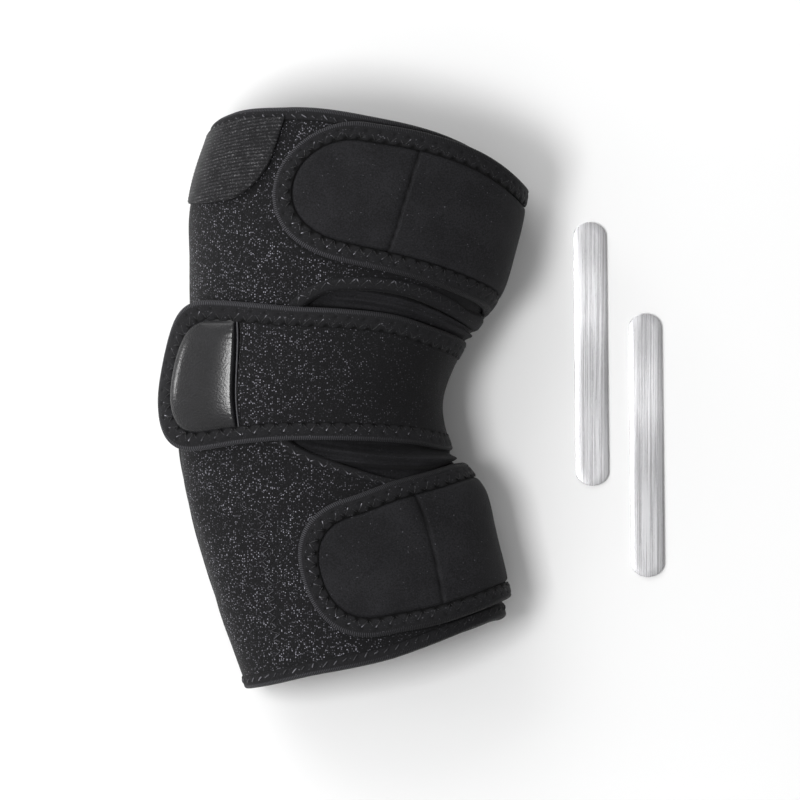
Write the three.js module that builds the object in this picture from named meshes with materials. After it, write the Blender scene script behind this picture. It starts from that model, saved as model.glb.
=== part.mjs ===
// Elbow brace: a padded wrap in the shape of a bent arm, open along the crook side and closed by three straps.
// It lies on its side, pressed flat where it touches the surface, with its two metal stays laid out beside it.
// Millimetres and degrees. X points to the crook of the elbow, Y up the upper arm, and Z up from the surface.
// The origin is on the face that the brace rests on, under the elbow.
import * as THREE from "three";

// The arm's shape, outside the wrap
const upperReach = 105; // from the elbow to the middle of the upper rim, along Y
const lowerReach = 101.6; // from the elbow to the middle of the lower rim, along Y
const upperLean = 25.5; // how far the upper rim's middle stands forward of the elbow, along X
const lowerLean = 29;
const upperWidth = 134.5; // the widest sections of the upper arm and forearm, and the narrow one at the elbow
const elbowWidth = 107;
const lowerWidth = 118.7;
const upperHeight = 80; // the same sections' heights above the surface
const elbowHeight = 72;
const lowerHeight = 67;
const upperTilt = 11; // how far each rim's line turns from X
const lowerTilt = 18.2;
const upperRimRise = 16; // how far each rim's round edge stands out past the line between its corners
const lowerRimRise = 2.8;
const upperBehind = 1.4; // how far each rim stands out further on the side that faces away, at one place
const lowerBehind = 4.5;
const upperBehindTurn = -70; // where those places are, round the arm
const lowerBehindTurn = -32;

// Cloth and tape
const wallThickness = 4; // neoprene between two fabrics
const strapThickness = 2.6;
const patchThickness = 1.1;
const clearance = 0.35; // between pieces that are sewn or pressed together
const layerGap = 0.7; // between the wrap's tape and the straps that lie over it
const bindingProud = 0.6; // how far the edge tape stands out from the wrap, on both faces
const strapBindingProud = 0.4;
const rimBand = 6; // the tape's width along the rims, round the crook opening and round the straps
const crookBand = 5.5;
const strapBand = 8;

// Where the straps leave the wrap
const upperFlare = 2; // how far the upper strap's lower edge stands off at the crook
const lowerFlare = 2.8; // how far the lower strap's upper edge stands off there
const tipLift = 6; // how far the middle strap's tip stands off at the point of the elbow
const rootLift = 1.5; // how far its root stands off underneath, over the end of the crook opening

// The closure and its trim
const slitTurn = 30; // where the wrap's two free edges meet, under the straps
const slitWidth = 1.2;
const tabLength = 28; // the padded tab at the middle strap's tip
const tabBulge = 2.4;
const tabSlant = 3.3; // how far its seam leans, from the strap's middle line to its edge
const patchRadius = 13; // the corner patch's round corner

// The metal stays
const stayLength = 111.5;
const stayWidth = 13.9;
const stayThickness = 1.5;
const stayEndRound = 5.9; // how far each end's curve reaches along the stay
const staySpace = 27.7; // from the wrap's widest point to the first stay's middle
const stayPitch = 23.5;
const stayTurn = 0.65;
const stayRows = [
  { name: "stay_1", step: 0, above: 22 },
  { name: "stay_2", step: 1, above: -16.6 },
];

// The wrap's section: an oval that is a little square, with its lowest part pressed flat on the surface
const squareness = 2.3;
const pressedShare = 0.12; // share of the half height that is pressed flat
const rimRoundness = 3; // how full the rims' curve is

// The sections down the arm. along is the share of the way from the upper rim to the lower one.
const sections = [
  {
    along: 0,
    lean: upperLean,
    reach: upperReach,
    width: 0.974 * upperWidth,
    tilt: -upperTilt,
    height: 0.988 * upperHeight,
    rise: upperRimRise,
    behind: upperBehind,
    behindTurn: upperBehindTurn,
  },
  {
    along: 0.115,
    lean: 0.76 * upperLean,
    reach: 0.771 * upperReach,
    width: upperWidth,
    tilt: -0.755 * upperTilt,
    height: upperHeight,
    rise: 0.77 * upperRimRise,
    behind: 0.45 * upperBehind,
    behindTurn: upperBehindTurn,
  },
  {
    along: 0.238,
    lean: 0.59 * upperLean,
    reach: 0.524 * upperReach,
    width: 0.952 * upperWidth,
    tilt: -0.51 * upperTilt,
    height: 0.981 * upperHeight,
    rise: 0.46 * upperRimRise,
    behind: 0,
    behindTurn: upperBehindTurn,
  },
  {
    along: 0.344,
    lean: 0.337 * upperLean,
    reach: 0.316 * upperReach,
    width: 0.855 * upperWidth,
    tilt: -0.245 * upperTilt,
    height: 0.944 * upperHeight,
    rise: 0.2 * upperRimRise,
    behind: 0,
    behindTurn: upperBehindTurn,
  },
  {
    along: 0.505,
    lean: 0,
    reach: 0,
    width: elbowWidth,
    tilt: 0,
    height: elbowHeight,
    rise: 0,
    behind: 0,
    behindTurn: lowerBehindTurn,
  },
  {
    along: 0.614,
    lean: 0.117 * lowerLean,
    reach: -0.227 * lowerReach,
    width: 0.938 * lowerWidth,
    tilt: 0.08 * lowerTilt,
    height: 1.037 * lowerHeight,
    rise: -0.09 * lowerRimRise,
    behind: 0,
    behindTurn: lowerBehindTurn,
  },
  {
    along: 0.718,
    lean: 0.414 * lowerLean,
    reach: -0.43 * lowerReach,
    width: lowerWidth,
    tilt: 0.335 * lowerTilt,
    height: lowerHeight,
    rise: -0.27 * lowerRimRise,
    behind: 0,
    behindTurn: lowerBehindTurn,
  },
  {
    along: 0.851,
    lean: 0.703 * lowerLean,
    reach: -0.699 * lowerReach,
    width: 0.989 * lowerWidth,
    tilt: 0.566 * lowerTilt,
    height: 0.97 * lowerHeight,
    rise: -0.55 * lowerRimRise,
    behind: -0.4 * lowerBehind,
    behindTurn: lowerBehindTurn,
  },
  {
    along: 1,
    lean: lowerLean,
    reach: -lowerReach,
    width: 0.95 * lowerWidth,
    tilt: lowerTilt,
    height: 0.925 * lowerHeight,
    rise: -lowerRimRise,
    behind: -lowerBehind,
    behindTurn: lowerBehindTurn,
  },
];

// The value of one column of a table at a place between its rows, on a smooth curve through all of them.
function between(rows, by, column, at) {
  const last = rows.length - 1;
  const gap = (i) => rows[i + 1][by] - rows[i][by];
  const rate = (i) => (rows[i + 1][column] - rows[i][column]) / gap(i);
  const slope = (i) => {
    if (i === 0) return rate(0);
    if (i === last) return rate(last - 1);
    return (
      (rate(i - 1) * gap(i) + rate(i) * gap(i - 1)) / (gap(i - 1) + gap(i))
    );
  };
  let i = 0;
  while (i < last - 1 && at > rows[i + 1][by]) i += 1;
  const t = (at - rows[i][by]) / gap(i);
  const start = rows[i][column];
  const end = rows[i + 1][column];
  if (t < 0) return start + slope(0) * (at - rows[0][by]);
  if (t > 1) return end + slope(last) * (at - rows[last][by]);
  const blend = t * t * (3 - 2 * t);
  return (
    start * (1 - blend) +
    end * blend +
    gap(i) *
      (slope(i) * t * (1 - t) * (1 - t) - slope(i + 1) * t * t * (1 - t))
  );
}

const smooth = (t) => {
  const u = THREE.MathUtils.clamp(t, 0, 1);
  return u * u * (3 - 2 * u);
};
const { degToRad, lerp } = THREE.MathUtils;

// A point on the arm. turn goes round it: 0 at the crook, 90 on top, 180 at the point of the elbow, -90 underneath.
// along goes down it, and lift is the distance out from the wrap's outer face.
function arm(turn, along, lift) {
  const at = (column) => between(sections, "along", column, along);
  const angle = degToRad(turn);
  const oval = Math.pow(
    Math.pow(Math.abs(Math.cos(angle)), squareness) +
      Math.pow(Math.abs(Math.sin(angle)), squareness),
    -1 / squareness,
  );
  const across = oval * Math.cos(angle);
  const halfHeight = at("height") / (2 - pressedShare);
  const middle = at("height") - halfHeight;
  const out = (at("width") / 2 + lift) * across;
  const up = middle + (halfHeight + lift) * oval * Math.sin(angle);
  const facing = Math.max(Math.cos(angle - degToRad(at("behindTurn"))), 0);
  const rise =
    at("rise") * (1 - Math.pow(Math.abs(across), rimRoundness)) +
    at("behind") * facing * facing;
  const tilt = degToRad(at("tilt"));
  return new THREE.Vector3(
    at("lean") + out * Math.cos(tilt) - rise * Math.sin(tilt),
    at("reach") + out * Math.sin(tilt) + rise * Math.cos(tilt),
    Math.max(up, 0, -lift),
  );
}

// How many millimetres one whole step of along, or one degree of turn, is on the wrap's outer face.
function alongPace(turn, along) {
  const step = 0.01;
  return arm(turn, along + step, 0).distanceTo(arm(turn, along, 0)) / step;
}
function turnPace(turn, along) {
  const step = 1;
  return arm(turn + step, along, 0).distanceTo(arm(turn, along, 0)) / step;
}

// Collects a solid's triangles and shares the corners that meet.
class Body {
  constructor() {
    this.corners = [];
    this.found = new Map();
    this.triangles = [];
  }

  corner(p) {
    const key = [p.x, p.y, p.z].map((v) => Math.round(v * 1000)).join(" ");
    if (!this.found.has(key)) {
      this.found.set(key, this.corners.length);
      this.corners.push(p);
    }
    return this.found.get(key);
  }

  triangle(a, b, c) {
    const [i, j, k] = [a, b, c].map((p) => this.corner(p));
    if (i !== j && j !== k && k !== i) this.triangles.push([i, j, k]);
  }

  quad(a, b, c, d) {
    this.triangle(a, b, c);
    this.triangle(a, c, d);
  }

  geometry() {
    const volume = this.triangles.reduce((sum, [i, j, k]) => {
      const [a, b, c] = [this.corners[i], this.corners[j], this.corners[k]];
      return sum + new THREE.Vector3().crossVectors(b, c).dot(a);
    }, 0);
    const index = this.triangles.flatMap(([i, j, k]) =>
      volume > 0 ? [i, j, k] : [i, k, j],
    );
    const made = new THREE.BufferGeometry();
    made.setFromPoints(this.corners);
    made.setIndex(index);
    made.computeVertexNormals();
    return made;
  }
}

// A thick sheet: two faces of a grid and the walls between them. point(i, j, top) gives the corners.
// walls says which of the grid's four edges get a wall; first and last may be asked column by column.
function addSheet(body, columns, rows, point, walls) {
  for (let i = 0; i < columns; i += 1) {
    for (let j = 0; j < rows; j += 1) {
      body.quad(
        point(i, j, true),
        point(i + 1, j, true),
        point(i + 1, j + 1, true),
        point(i, j + 1, true),
      );
      body.quad(
        point(i, j, false),
        point(i, j + 1, false),
        point(i + 1, j + 1, false),
        point(i + 1, j, false),
      );
    }
    if (walls.first(i)) {
      body.quad(
        point(i, 0, true),
        point(i, 0, false),
        point(i + 1, 0, false),
        point(i + 1, 0, true),
      );
    }
    if (walls.last(i)) {
      body.quad(
        point(i, rows, true),
        point(i + 1, rows, true),
        point(i + 1, rows, false),
        point(i, rows, false),
      );
    }
  }
  for (let j = 0; j < rows && walls.ends; j += 1) {
    body.quad(
      point(0, j, true),
      point(0, j + 1, true),
      point(0, j + 1, false),
      point(0, j, false),
    );
    body.quad(
      point(columns, j, true),
      point(columns, j, false),
      point(columns, j + 1, false),
      point(columns, j + 1, true),
    );
  }
}
const everywhere = () => true;
const nowhere = () => false;
const closedWalls = { first: everywhere, last: everywhere, ends: true };

// A tape sewn round an edge: a flat section with a round outer edge, carried along steps.
// place(i, across, thick) gives a corner; across goes from 0 at the outer edge to 1, thick from 0 to 1.
const tapeSection = [
  { across: 1, thick: 0 },
  { across: 0.14, thick: 0 },
  { across: 0, thick: 0.28 },
  { across: 0, thick: 0.72 },
  { across: 0.14, thick: 1 },
  { across: 1, thick: 1 },
];
function addTape(body, steps, place) {
  const corner = (i, n) => {
    const { across, thick } = tapeSection[n % tapeSection.length];
    return place(i, across, thick);
  };
  for (let i = 0; i < steps; i += 1) {
    for (let n = 0; n < tapeSection.length; n += 1) {
      body.quad(
        corner(i, n),
        corner(i, n + 1),
        corner(i + 1, n + 1),
        corner(i + 1, n),
      );
    }
  }
  for (let n = 1; n < tapeSection.length - 1; n += 1) {
    body.triangle(corner(0, 0), corner(0, n + 1), corner(0, n));
    body.triangle(corner(steps, 0), corner(steps, n), corner(steps, n + 1));
  }
}

// A quarter of an oval with full corners, from its side to its end: shares of its two half lengths.
function quarterOval(shape, steps) {
  return Array.from({ length: steps + 1 }, (_, i) => {
    const angle = (i / steps) * (Math.PI / 2);
    return {
      ahead: Math.pow(Math.sin(angle), 2 / shape),
      aside: i < steps ? Math.pow(Math.cos(angle), 2 / shape) : 0,
    };
  });
}

// Values from one to another in even steps, without the last.
const spread = (from, to, steps) =>
  Array.from({ length: steps }, (_, i) => lerp(from, to, i / steps));

// The opening at the crook: its upper and lower edges at each turn, before its two ends are rounded off.
const openingShape = 2.6;
const openingSteps = 6; // columns round each end
const straightSteps = 6; // columns from each end to the slit
const nearEnd = { round: 85, tip: 107, side: 1 };
const farEnd = { round: -11, tip: -24, side: -1 };
const openingRows = [
  { turn: -24, top: 0.352, bottom: 0.66 },
  { turn: 0, top: 0.3425, bottom: 0.68 },
  { turn: 45, top: 0.328, bottom: 0.674 },
  { turn: 62, top: 0.316, bottom: 0.653 },
  { turn: 75, top: 0.312, bottom: 0.626 },
  { turn: 90, top: 0.31, bottom: 0.596 },
  { turn: 107, top: 0.31, bottom: 0.575 },
];
const closedAlong = (openingRows.at(-1).top + openingRows.at(-1).bottom) / 2;

// The opening's edge at a turn, on its upper side (-1) or lower side (1), with grow millimetres cut away around it.
function openingEdge(turn, side, grow) {
  const held = THREE.MathUtils.clamp(turn, farEnd.tip, nearEnd.tip);
  const top = between(openingRows, "turn", "top", held);
  const bottom = between(openingRows, "turn", "bottom", held);
  const middle = (top + bottom) / 2;
  const half = (bottom - top) / 2 + grow / alongPace(held, middle);
  return middle + side * half;
}

// The turn reached part of the way into one of the opening's rounded ends.
function endTurn(end, ahead, grow) {
  const reach = end.tip - end.round + (end.side * grow) / turnPace(end.tip, closedAlong);
  return end.round + reach * ahead;
}

// The wrap's columns: from one free edge, past the opening's near end, underneath and back to the other free edge.
const halfSlit = slitWidth / 2 / turnPace(slitTurn, 0.2);
const wholeTurn = 360;
const wrapGrow = crookBand + clearance;
const ovalSteps = quarterOval(openingShape, openingSteps);
const nearColumns = ovalSteps.map(({ ahead, aside }) => ({
  turn: endTurn(nearEnd, ahead, wrapGrow),
  open: aside,
}));
const farColumns = ovalSteps.map(({ ahead, aside }) => ({
  turn: wholeTurn + endTurn(farEnd, ahead, wrapGrow),
  open: aside,
}));
const columnsOf = (open) => (turn) => ({ turn, open });
const wrapColumns = [
  ...spread(slitTurn + halfSlit, nearEnd.round, straightSteps).map(columnsOf(1)),
  ...nearColumns,
  ...spread(nearColumns.at(-1).turn, farColumns.at(-1).turn, 21)
    .slice(1)
    .map(columnsOf(0)),
  ...farColumns.reverse(),
  ...spread(wholeTurn + slitTurn - halfSlit, wholeTurn + farEnd.round, straightSteps)
    .reverse()
    .map(columnsOf(1)),
];

// The wrap itself: one sheet above the opening and one below it, joined where the opening is closed.
function wrapGeometry() {
  const body = new Body();
  const rows = 8;
  const rim = rimBand + clearance;
  const ends = wrapColumns.map(({ turn, open }) => {
    const around = turn > wholeTurn / 2 ? turn - wholeTurn : turn;
    return {
      upper: rim / alongPace(turn, 0),
      top: lerp(closedAlong, openingEdge(around, -1, wrapGrow), open),
      bottom: lerp(closedAlong, openingEdge(around, 1, wrapGrow), open),
      lower: 1 - rim / alongPace(turn, 1),
    };
  });
  const cutHere = (i) => wrapColumns[i].open + wrapColumns[i + 1].open > 0;
  const half = (from, to) => (i, j, top) =>
    arm(
      wrapColumns[i].turn,
      lerp(ends[i][from], ends[i][to], j / rows),
      top ? 0 : -wallThickness,
    );
  const columns = wrapColumns.length - 1;
  addSheet(body, columns, rows, half("upper", "top"), {
    first: everywhere,
    last: cutHere,
    ends: true,
  });
  addSheet(body, columns, rows, half("bottom", "lower"), {
    first: cutHere,
    last: everywhere,
    ends: true,
  });
  return body.geometry();
}

// The tape along a rim, from one free edge of the wrap round to the other.
function rimTape(rimAlong, inward) {
  const body = new Body();
  addTape(body, wrapColumns.length - 1, (i, across, thick) => {
    const { turn } = wrapColumns[i];
    const step = (across * rimBand) / alongPace(turn, rimAlong);
    const lift = lerp(-wallThickness - bindingProud, bindingProud, thick);
    return arm(turn, rimAlong + inward * step, lift);
  });
  return body.geometry();
}

// The tape round the crook opening on one side of the slit: along its upper edge, round its end and back.
function crookTape(from, end) {
  const straight = spread(from, end.round, straightSteps).map((turn) => ({
    turn,
    ahead: 0,
    aside: 1,
  }));
  const there = [...straight, ...ovalSteps].map((place) => ({ ...place, side: -1 }));
  const back = there
    .slice(0, -1)
    .reverse()
    .map((place) => ({ ...place, side: 1 }));
  const path = [...there, ...back];
  const body = new Body();
  addTape(body, path.length - 1, (i, across, thick) => {
    const { turn, ahead, aside, side } = path[i];
    const grow = across * crookBand;
    const here = turn ?? endTurn(end, ahead, grow);
    const lift = lerp(-wallThickness - bindingProud, bindingProud, thick);
    return arm(here, lerp(closedAlong, openingEdge(here, side, grow), aside), lift);
  });
  return body.geometry();
}

// The straps. Each runs from its root under the crook side, round the crook and over the top of the arm.
// top and bottom are its edges at each turn, and the last stretch, from roundFrom to tip, is rounded off.
const strapLift = bindingProud + layerGap;
const crookWindow = 55; // the flares fade out this many degrees from the crook
const atCrook = (turn) =>
  Math.pow(Math.max(Math.cos(degToRad((turn * 90) / crookWindow)), 0), 2) *
  (Math.abs(turn) < crookWindow ? 1 : 0);
const upperStrap = {
  root: -46,
  roundFrom: 91,
  tip: 117.5,
  shape: 2.15,
  stand: (turn, across) => upperFlare * atCrook(turn) * smooth(across),
  rows: [
    { turn: -46, top: 0.012, bottom: 0.3 },
    { turn: 0, top: 0.004, bottom: 0.303 },
    { turn: 18, top: 0.002, bottom: 0.287 },
    { turn: 43, top: 0.002, bottom: 0.273 },
    { turn: 62, top: 0.006, bottom: 0.262 },
    { turn: 84, top: 0.01, bottom: 0.2505 },
    { turn: 100, top: 0.014, bottom: 0.242 },
    { turn: 118, top: 0.028, bottom: 0.242 },
  ],
};
const lowerStrap = {
  root: -46,
  roundFrom: 84,
  tip: 109.5,
  shape: 2.3,
  stand: (turn, across) => lowerFlare * atCrook(turn) * smooth(-across),
  rows: [
    { turn: -46, top: 0.635, bottom: 0.965 },
    { turn: 0, top: 0.6275, bottom: 0.968 },
    { turn: 23, top: 0.63, bottom: 0.977 },
    { turn: 45, top: 0.647, bottom: 0.983 },
    { turn: 62, top: 0.663, bottom: 0.981 },
    { turn: 80, top: 0.688, bottom: 0.971 },
    { turn: 95, top: 0.703, bottom: 0.965 },
    { turn: 110, top: 0.711, bottom: 0.963 },
  ],
};
const middleTip = 162;
const liftFrom = 120; // the turn where the middle strap starts to leave the arm
const middleStrap = {
  root: -46,
  roundFrom: 137,
  tip: middleTip,
  shape: 2.6,
  stand: (turn) =>
    tipLift * smooth((turn - liftFrom) / (middleTip - liftFrom)) +
    rootLift * smooth(-turn / 20),
  rows: [
    { turn: -46, top: 0.372, bottom: 0.6 },
    { turn: 0, top: 0.366, bottom: 0.606 },
    { turn: 20, top: 0.358, bottom: 0.606 },
    { turn: 47, top: 0.342, bottom: 0.589 },
    { turn: 62, top: 0.33, bottom: 0.583 },
    { turn: 85, top: 0.325, bottom: 0.578 },
    { turn: 105, top: 0.325, bottom: 0.577 },
    { turn: 120, top: 0.321, bottom: 0.581 },
    { turn: 135, top: 0.316, bottom: 0.588 },
    { turn: 162, top: 0.312, bottom: 0.592 },
  ],
};

// Lays a strap out flat: run is the distance from its root along its middle line, in millimetres,
// and across goes from -1 at its upper edge to 1 at its lower one.
function strapChart(strap) {
  const edge = (column, turn) => between(strap.rows, "turn", column, turn);
  const middle = (turn) => (edge("top", turn) + edge("bottom", turn)) / 2;
  const half = (turn) => (edge("bottom", turn) - edge("top", turn)) / 2;
  const marks = 120;
  const turns = Array.from({ length: marks + 1 }, (_, i) =>
    lerp(strap.root, strap.tip, i / marks),
  );
  const line = turns.map((turn) =>
    arm(turn, middle(turn), strapLift + strap.stand(turn, 0)),
  );
  const runs = [0];
  for (let i = 1; i <= marks; i += 1) {
    runs.push(runs[i - 1] + line[i].distanceTo(line[i - 1]));
  }
  const turnAt = (run) => {
    let i = 0;
    while (i < marks - 1 && runs[i + 1] < run) i += 1;
    const share = (run - runs[i]) / (runs[i + 1] - runs[i]);
    return lerp(turns[i], turns[i + 1], share);
  };
  const runAt = (turn) =>
    lerp(0, marks, (turn - strap.root) / (strap.tip - strap.root));
  const length = runs[marks];
  const roundRun = runs[Math.round(runAt(strap.roundFrom))];
  return {
    length,
    roundRun,
    halfWidth: (run) => {
      const turn = turnAt(run);
      return half(turn) * alongPace(turn, middle(turn));
    },
    point: (run, across, height) => {
      const turn = turnAt(run);
      const lift = strapLift + strap.stand(turn, across) + height;
      return arm(turn, middle(turn) + across * half(turn), lift);
    },
  };
}

// A strap's outline, inset millimetres in from its edge, from the root's lower corner round the tip and back.
// Each place is { run, across }, with the spine place that it is joined to across the strap.
const lengthSteps = 18;
function strapOutline(strap, chart, inset, runFrom, steps) {
  const bendSteps = 9;
  const acrossAt = (run) => 1 - inset / chart.halfWidth(run);
  const { roundRun, length } = chart;
  const places = [];
  for (let i = 0; i < steps; i += 1) {
    const run = lerp(runFrom, roundRun, i / steps);
    places.push({ run, across: acrossAt(run), spine: run });
  }
  for (const { ahead, aside } of quarterOval(strap.shape, bendSteps)) {
    const run = roundRun + (length - roundRun - inset) * ahead;
    places.push({ run, across: acrossAt(roundRun) * aside, spine: roundRun });
  }
  const back = places
    .slice(0, -1)
    .reverse()
    .map((place) => ({ ...place, across: -place.across }));
  return [...places, ...back];
}

// The tape round a strap's edge, stitched through near its inner edge.
function strapTape(strap) {
  const chart = strapChart(strap);
  const outer = strapOutline(strap, chart, 0, 0, lengthSteps);
  const inner = strapOutline(strap, chart, strapBand, 0, lengthSteps);
  const body = new Body();
  addTape(body, outer.length - 1, (i, across, thick) => {
    const run = lerp(outer[i].run, inner[i].run, across);
    const side = lerp(outer[i].across, inner[i].across, across);
    return chart.point(run, side, thick * (strapThickness + strapBindingProud));
  });
  return body.geometry();
}

// The strap's own cloth inside its tape, with a rounded end.
function roundStrapPanel(strap) {
  const chart = strapChart(strap);
  const edge = strapOutline(strap, chart, strapBand + clearance, 0, lengthSteps);
  const rings = 3;
  const body = new Body();
  const point = (i, j, top) => {
    const run = lerp(edge[i].spine, edge[i].run, j / rings);
    const across = (edge[i].across * j) / rings;
    return chart.point(run, across, top ? strapThickness : 0);
  };
  addSheet(body, edge.length - 1, rings, point, {
    first: nowhere,
    last: everywhere,
    ends: true,
  });
  return body.geometry();
}

// The middle strap's cloth stops at the tab's seam.
function seamedStrapPanel(strap, tabRun) {
  const chart = strapChart(strap);
  const columns = 26;
  const rows = 6;
  const body = new Body();
  const point = (i, j, top) => {
    const side = lerp(-1, 1, j / rows);
    const run = (tabRun - clearance - tabSlant * side) * (i / columns);
    const reach = 1 - (strapBand + clearance) / chart.halfWidth(run);
    return chart.point(run, reach * side, top ? strapThickness : 0);
  };
  addSheet(body, columns, rows, point, closedWalls);
  return body.geometry();
}

// The tab: a padded half round inside the tape at the strap's tip, highest in its middle.
function tabGeometry(strap, tabRun) {
  const chart = strapChart(strap);
  const edge = strapOutline(strap, chart, strapBand + clearance, tabRun, 3);
  const middle = { run: (tabRun + chart.length) / 2, across: 0 };
  const rings = [0, 0.35, 0.65, 0.88, 1];
  const body = new Body();
  const [corner] = edge;
  const seam = spread(-corner.across, corner.across, 6).map((across) => ({
    run: corner.run,
    across,
  }));
  const closed = [...edge, ...seam.slice(1), corner].map(({ run, across }) => {
    const left = Math.max(chart.roundRun - run, 0) / (chart.roundRun - tabRun);
    return { run: run - (tabSlant * left * across) / corner.across, across };
  });
  const point = (i, j, top) => {
    const ring = rings[j];
    const run = lerp(middle.run, closed[i].run, ring);
    const across = lerp(middle.across, closed[i].across, ring);
    const height = strapThickness + tabBulge * (1 - Math.pow(ring, 2.5));
    return chart.point(run, across, top ? height : 0);
  };
  addSheet(body, closed.length - 1, rings.length - 1, point, {
    first: nowhere,
    last: everywhere,
    ends: false,
  });
  return body.geometry();
}

// The ribbed patch over the wrap's upper corner, from the far side round to its rounded corner on top.
const patch = {
  root: 214,
  tip: 121,
  rows: [
    { turn: 121, bottom: 0.15 },
    { turn: 133, bottom: 0.152 },
    { turn: 146, bottom: 0.15 },
    { turn: 163, bottom: 0.1425 },
    { turn: 214, bottom: 0.14 },
  ],
};
function patchGeometry() {
  const body = new Body();
  const corner = patchRadius / turnPace(patch.tip, patch.rows[0].bottom);
  const round = quarterOval(2, 4)
    .reverse()
    .map(({ ahead, aside }) => ({ turn: patch.tip + corner * (1 - ahead), aside }));
  const flat = spread(patch.root, patch.tip + corner, 9)
    .reverse()
    .map((turn) => ({ turn, aside: 1 }));
  const columns = [...round, ...flat];
  const rows = 3;
  const point = (i, j, top) => {
    const { turn, aside } = columns[i];
    const upper = (rimBand + clearance) / alongPace(turn, 0);
    const cut = patchRadius * (1 - aside);
    const edge = between(patch.rows, "turn", "bottom", turn);
    const lower = edge - cut / alongPace(turn, edge);
    const lift = clearance + (top ? patchThickness : 0);
    return arm(turn, lerp(upper, lower, j / rows), lift);
  };
  addSheet(body, columns.length - 1, rows, point, closedWalls);
  return body.geometry();
}

// A stay: a flat strip of metal with both ends rounded.
function stayGeometry() {
  const half = stayLength / 2 - stayEndRound;
  const outline = new THREE.Shape();
  outline.absellipse(0, half, stayWidth / 2, stayEndRound, 0, Math.PI);
  outline.absellipse(0, -half, stayWidth / 2, stayEndRound, Math.PI, 2 * Math.PI);
  return new THREE.ExtrudeGeometry(outline, {
    depth: stayThickness,
    bevelEnabled: false,
    curveSegments: 10,
  });
}

// The finishes seen in daylight
const loopCloth = new THREE.MeshStandardMaterial({
  color: 0x1d1d20,
  roughness: 0.85,
});
const smoothCloth = new THREE.MeshStandardMaterial({
  color: 0x1b1b1d,
  roughness: 0.9,
});
const edgeTape = new THREE.MeshStandardMaterial({
  color: 0x161618,
  roughness: 0.8,
});
const ribbedCloth = new THREE.MeshStandardMaterial({
  color: 0x242427,
  roughness: 0.85,
});
const softLeather = new THREE.MeshStandardMaterial({
  color: 0x2c2c30,
  roughness: 0.35,
});
const brushedMetal = new THREE.MeshStandardMaterial({
  color: 0xd8d8dc,
  roughness: 0.35,
  metalness: 1,
});

const brace = new THREE.Group();
function add(name, geometry, material) {
  const mesh = new THREE.Mesh(geometry, material);
  mesh.name = name;
  brace.add(mesh);
  return mesh;
}

const tabRun = strapChart(middleStrap).length - strapBand - tabLength;

add("wrap", wrapGeometry(), loopCloth);
add("upper_rim_tape", rimTape(0, 1), edgeTape);
add("lower_rim_tape", rimTape(1, -1), edgeTape);
add("crook_tape_near", crookTape(slitTurn + halfSlit, nearEnd), edgeTape);
add("crook_tape_far", crookTape(slitTurn - halfSlit, farEnd), edgeTape);
add("corner_patch", patchGeometry(), ribbedCloth);
add("upper_strap", roundStrapPanel(upperStrap), smoothCloth);
add("upper_strap_tape", strapTape(upperStrap), edgeTape);
add("lower_strap", roundStrapPanel(lowerStrap), smoothCloth);
add("lower_strap_tape", strapTape(lowerStrap), edgeTape);
add("middle_strap", seamedStrapPanel(middleStrap, tabRun), loopCloth);
add("middle_strap_tape", strapTape(middleStrap), edgeTape);
add("pull_tab", tabGeometry(middleStrap, tabRun), softLeather);
for (const { name, step, above } of stayRows) {
  const stay = add(name, stayGeometry(), brushedMetal);
  const beside = upperLean + upperWidth / 2 + staySpace + step * stayPitch;
  stay.position.set(beside, above, 0);
  stay.rotation.z = degToRad(stayTurn);
}

export default brace;
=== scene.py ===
import math

import bmesh
import bpy
import numpy as np
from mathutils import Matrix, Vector


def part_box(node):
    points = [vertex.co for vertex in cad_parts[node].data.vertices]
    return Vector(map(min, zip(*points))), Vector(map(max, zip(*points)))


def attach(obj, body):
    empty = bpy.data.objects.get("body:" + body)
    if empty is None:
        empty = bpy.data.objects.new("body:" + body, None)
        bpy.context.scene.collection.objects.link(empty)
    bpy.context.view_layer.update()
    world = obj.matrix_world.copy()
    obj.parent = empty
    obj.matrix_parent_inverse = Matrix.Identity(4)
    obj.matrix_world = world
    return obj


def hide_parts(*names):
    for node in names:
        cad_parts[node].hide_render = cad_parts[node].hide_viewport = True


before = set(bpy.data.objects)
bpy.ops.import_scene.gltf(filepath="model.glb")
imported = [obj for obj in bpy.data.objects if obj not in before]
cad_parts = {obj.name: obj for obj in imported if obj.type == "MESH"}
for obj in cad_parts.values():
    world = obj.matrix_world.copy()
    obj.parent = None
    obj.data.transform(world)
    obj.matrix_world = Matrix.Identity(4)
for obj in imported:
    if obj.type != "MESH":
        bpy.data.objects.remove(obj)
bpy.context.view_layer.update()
mm = 0.001  # the sizes below are in millimetres and degrees
rng = np.random.default_rng(12)

# The arm inside the brace. The rows give each section as shares of the upper or lower sizes.
armShape = {
    "upper": dict(lean=25.5, reach=105, width=134.5, tilt=11, height=80, rise=16, behind=1.4),
    "elbow": dict(lean=0, reach=0, width=107, tilt=0, height=72, rise=0, behind=0),
    "lower": dict(lean=29, reach=101.6, width=118.7, tilt=18.2, height=67, rise=2.8, behind=4.5),
    "behindTurn": (-70, -32),
    "behindSplit": 0.42,  # the along where the second of these turns takes over
    "squareness": 2.3,
    "pressedShare": 0.12,
    "rimRoundness": 3,
}
upperRows = {
    "along": [0, 0.115, 0.238, 0.344],
    "lean": [1, 0.76, 0.59, 0.337],
    "reach": [1, 0.771, 0.524, 0.316],
    "width": [0.974, 1, 0.952, 0.855],
    "tilt": [-1, -0.755, -0.51, -0.245],
    "height": [0.988, 1, 0.981, 0.944],
    "rise": [1, 0.77, 0.46, 0.2],
    "behind": [1, 0.45, 0, 0],
}
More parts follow.
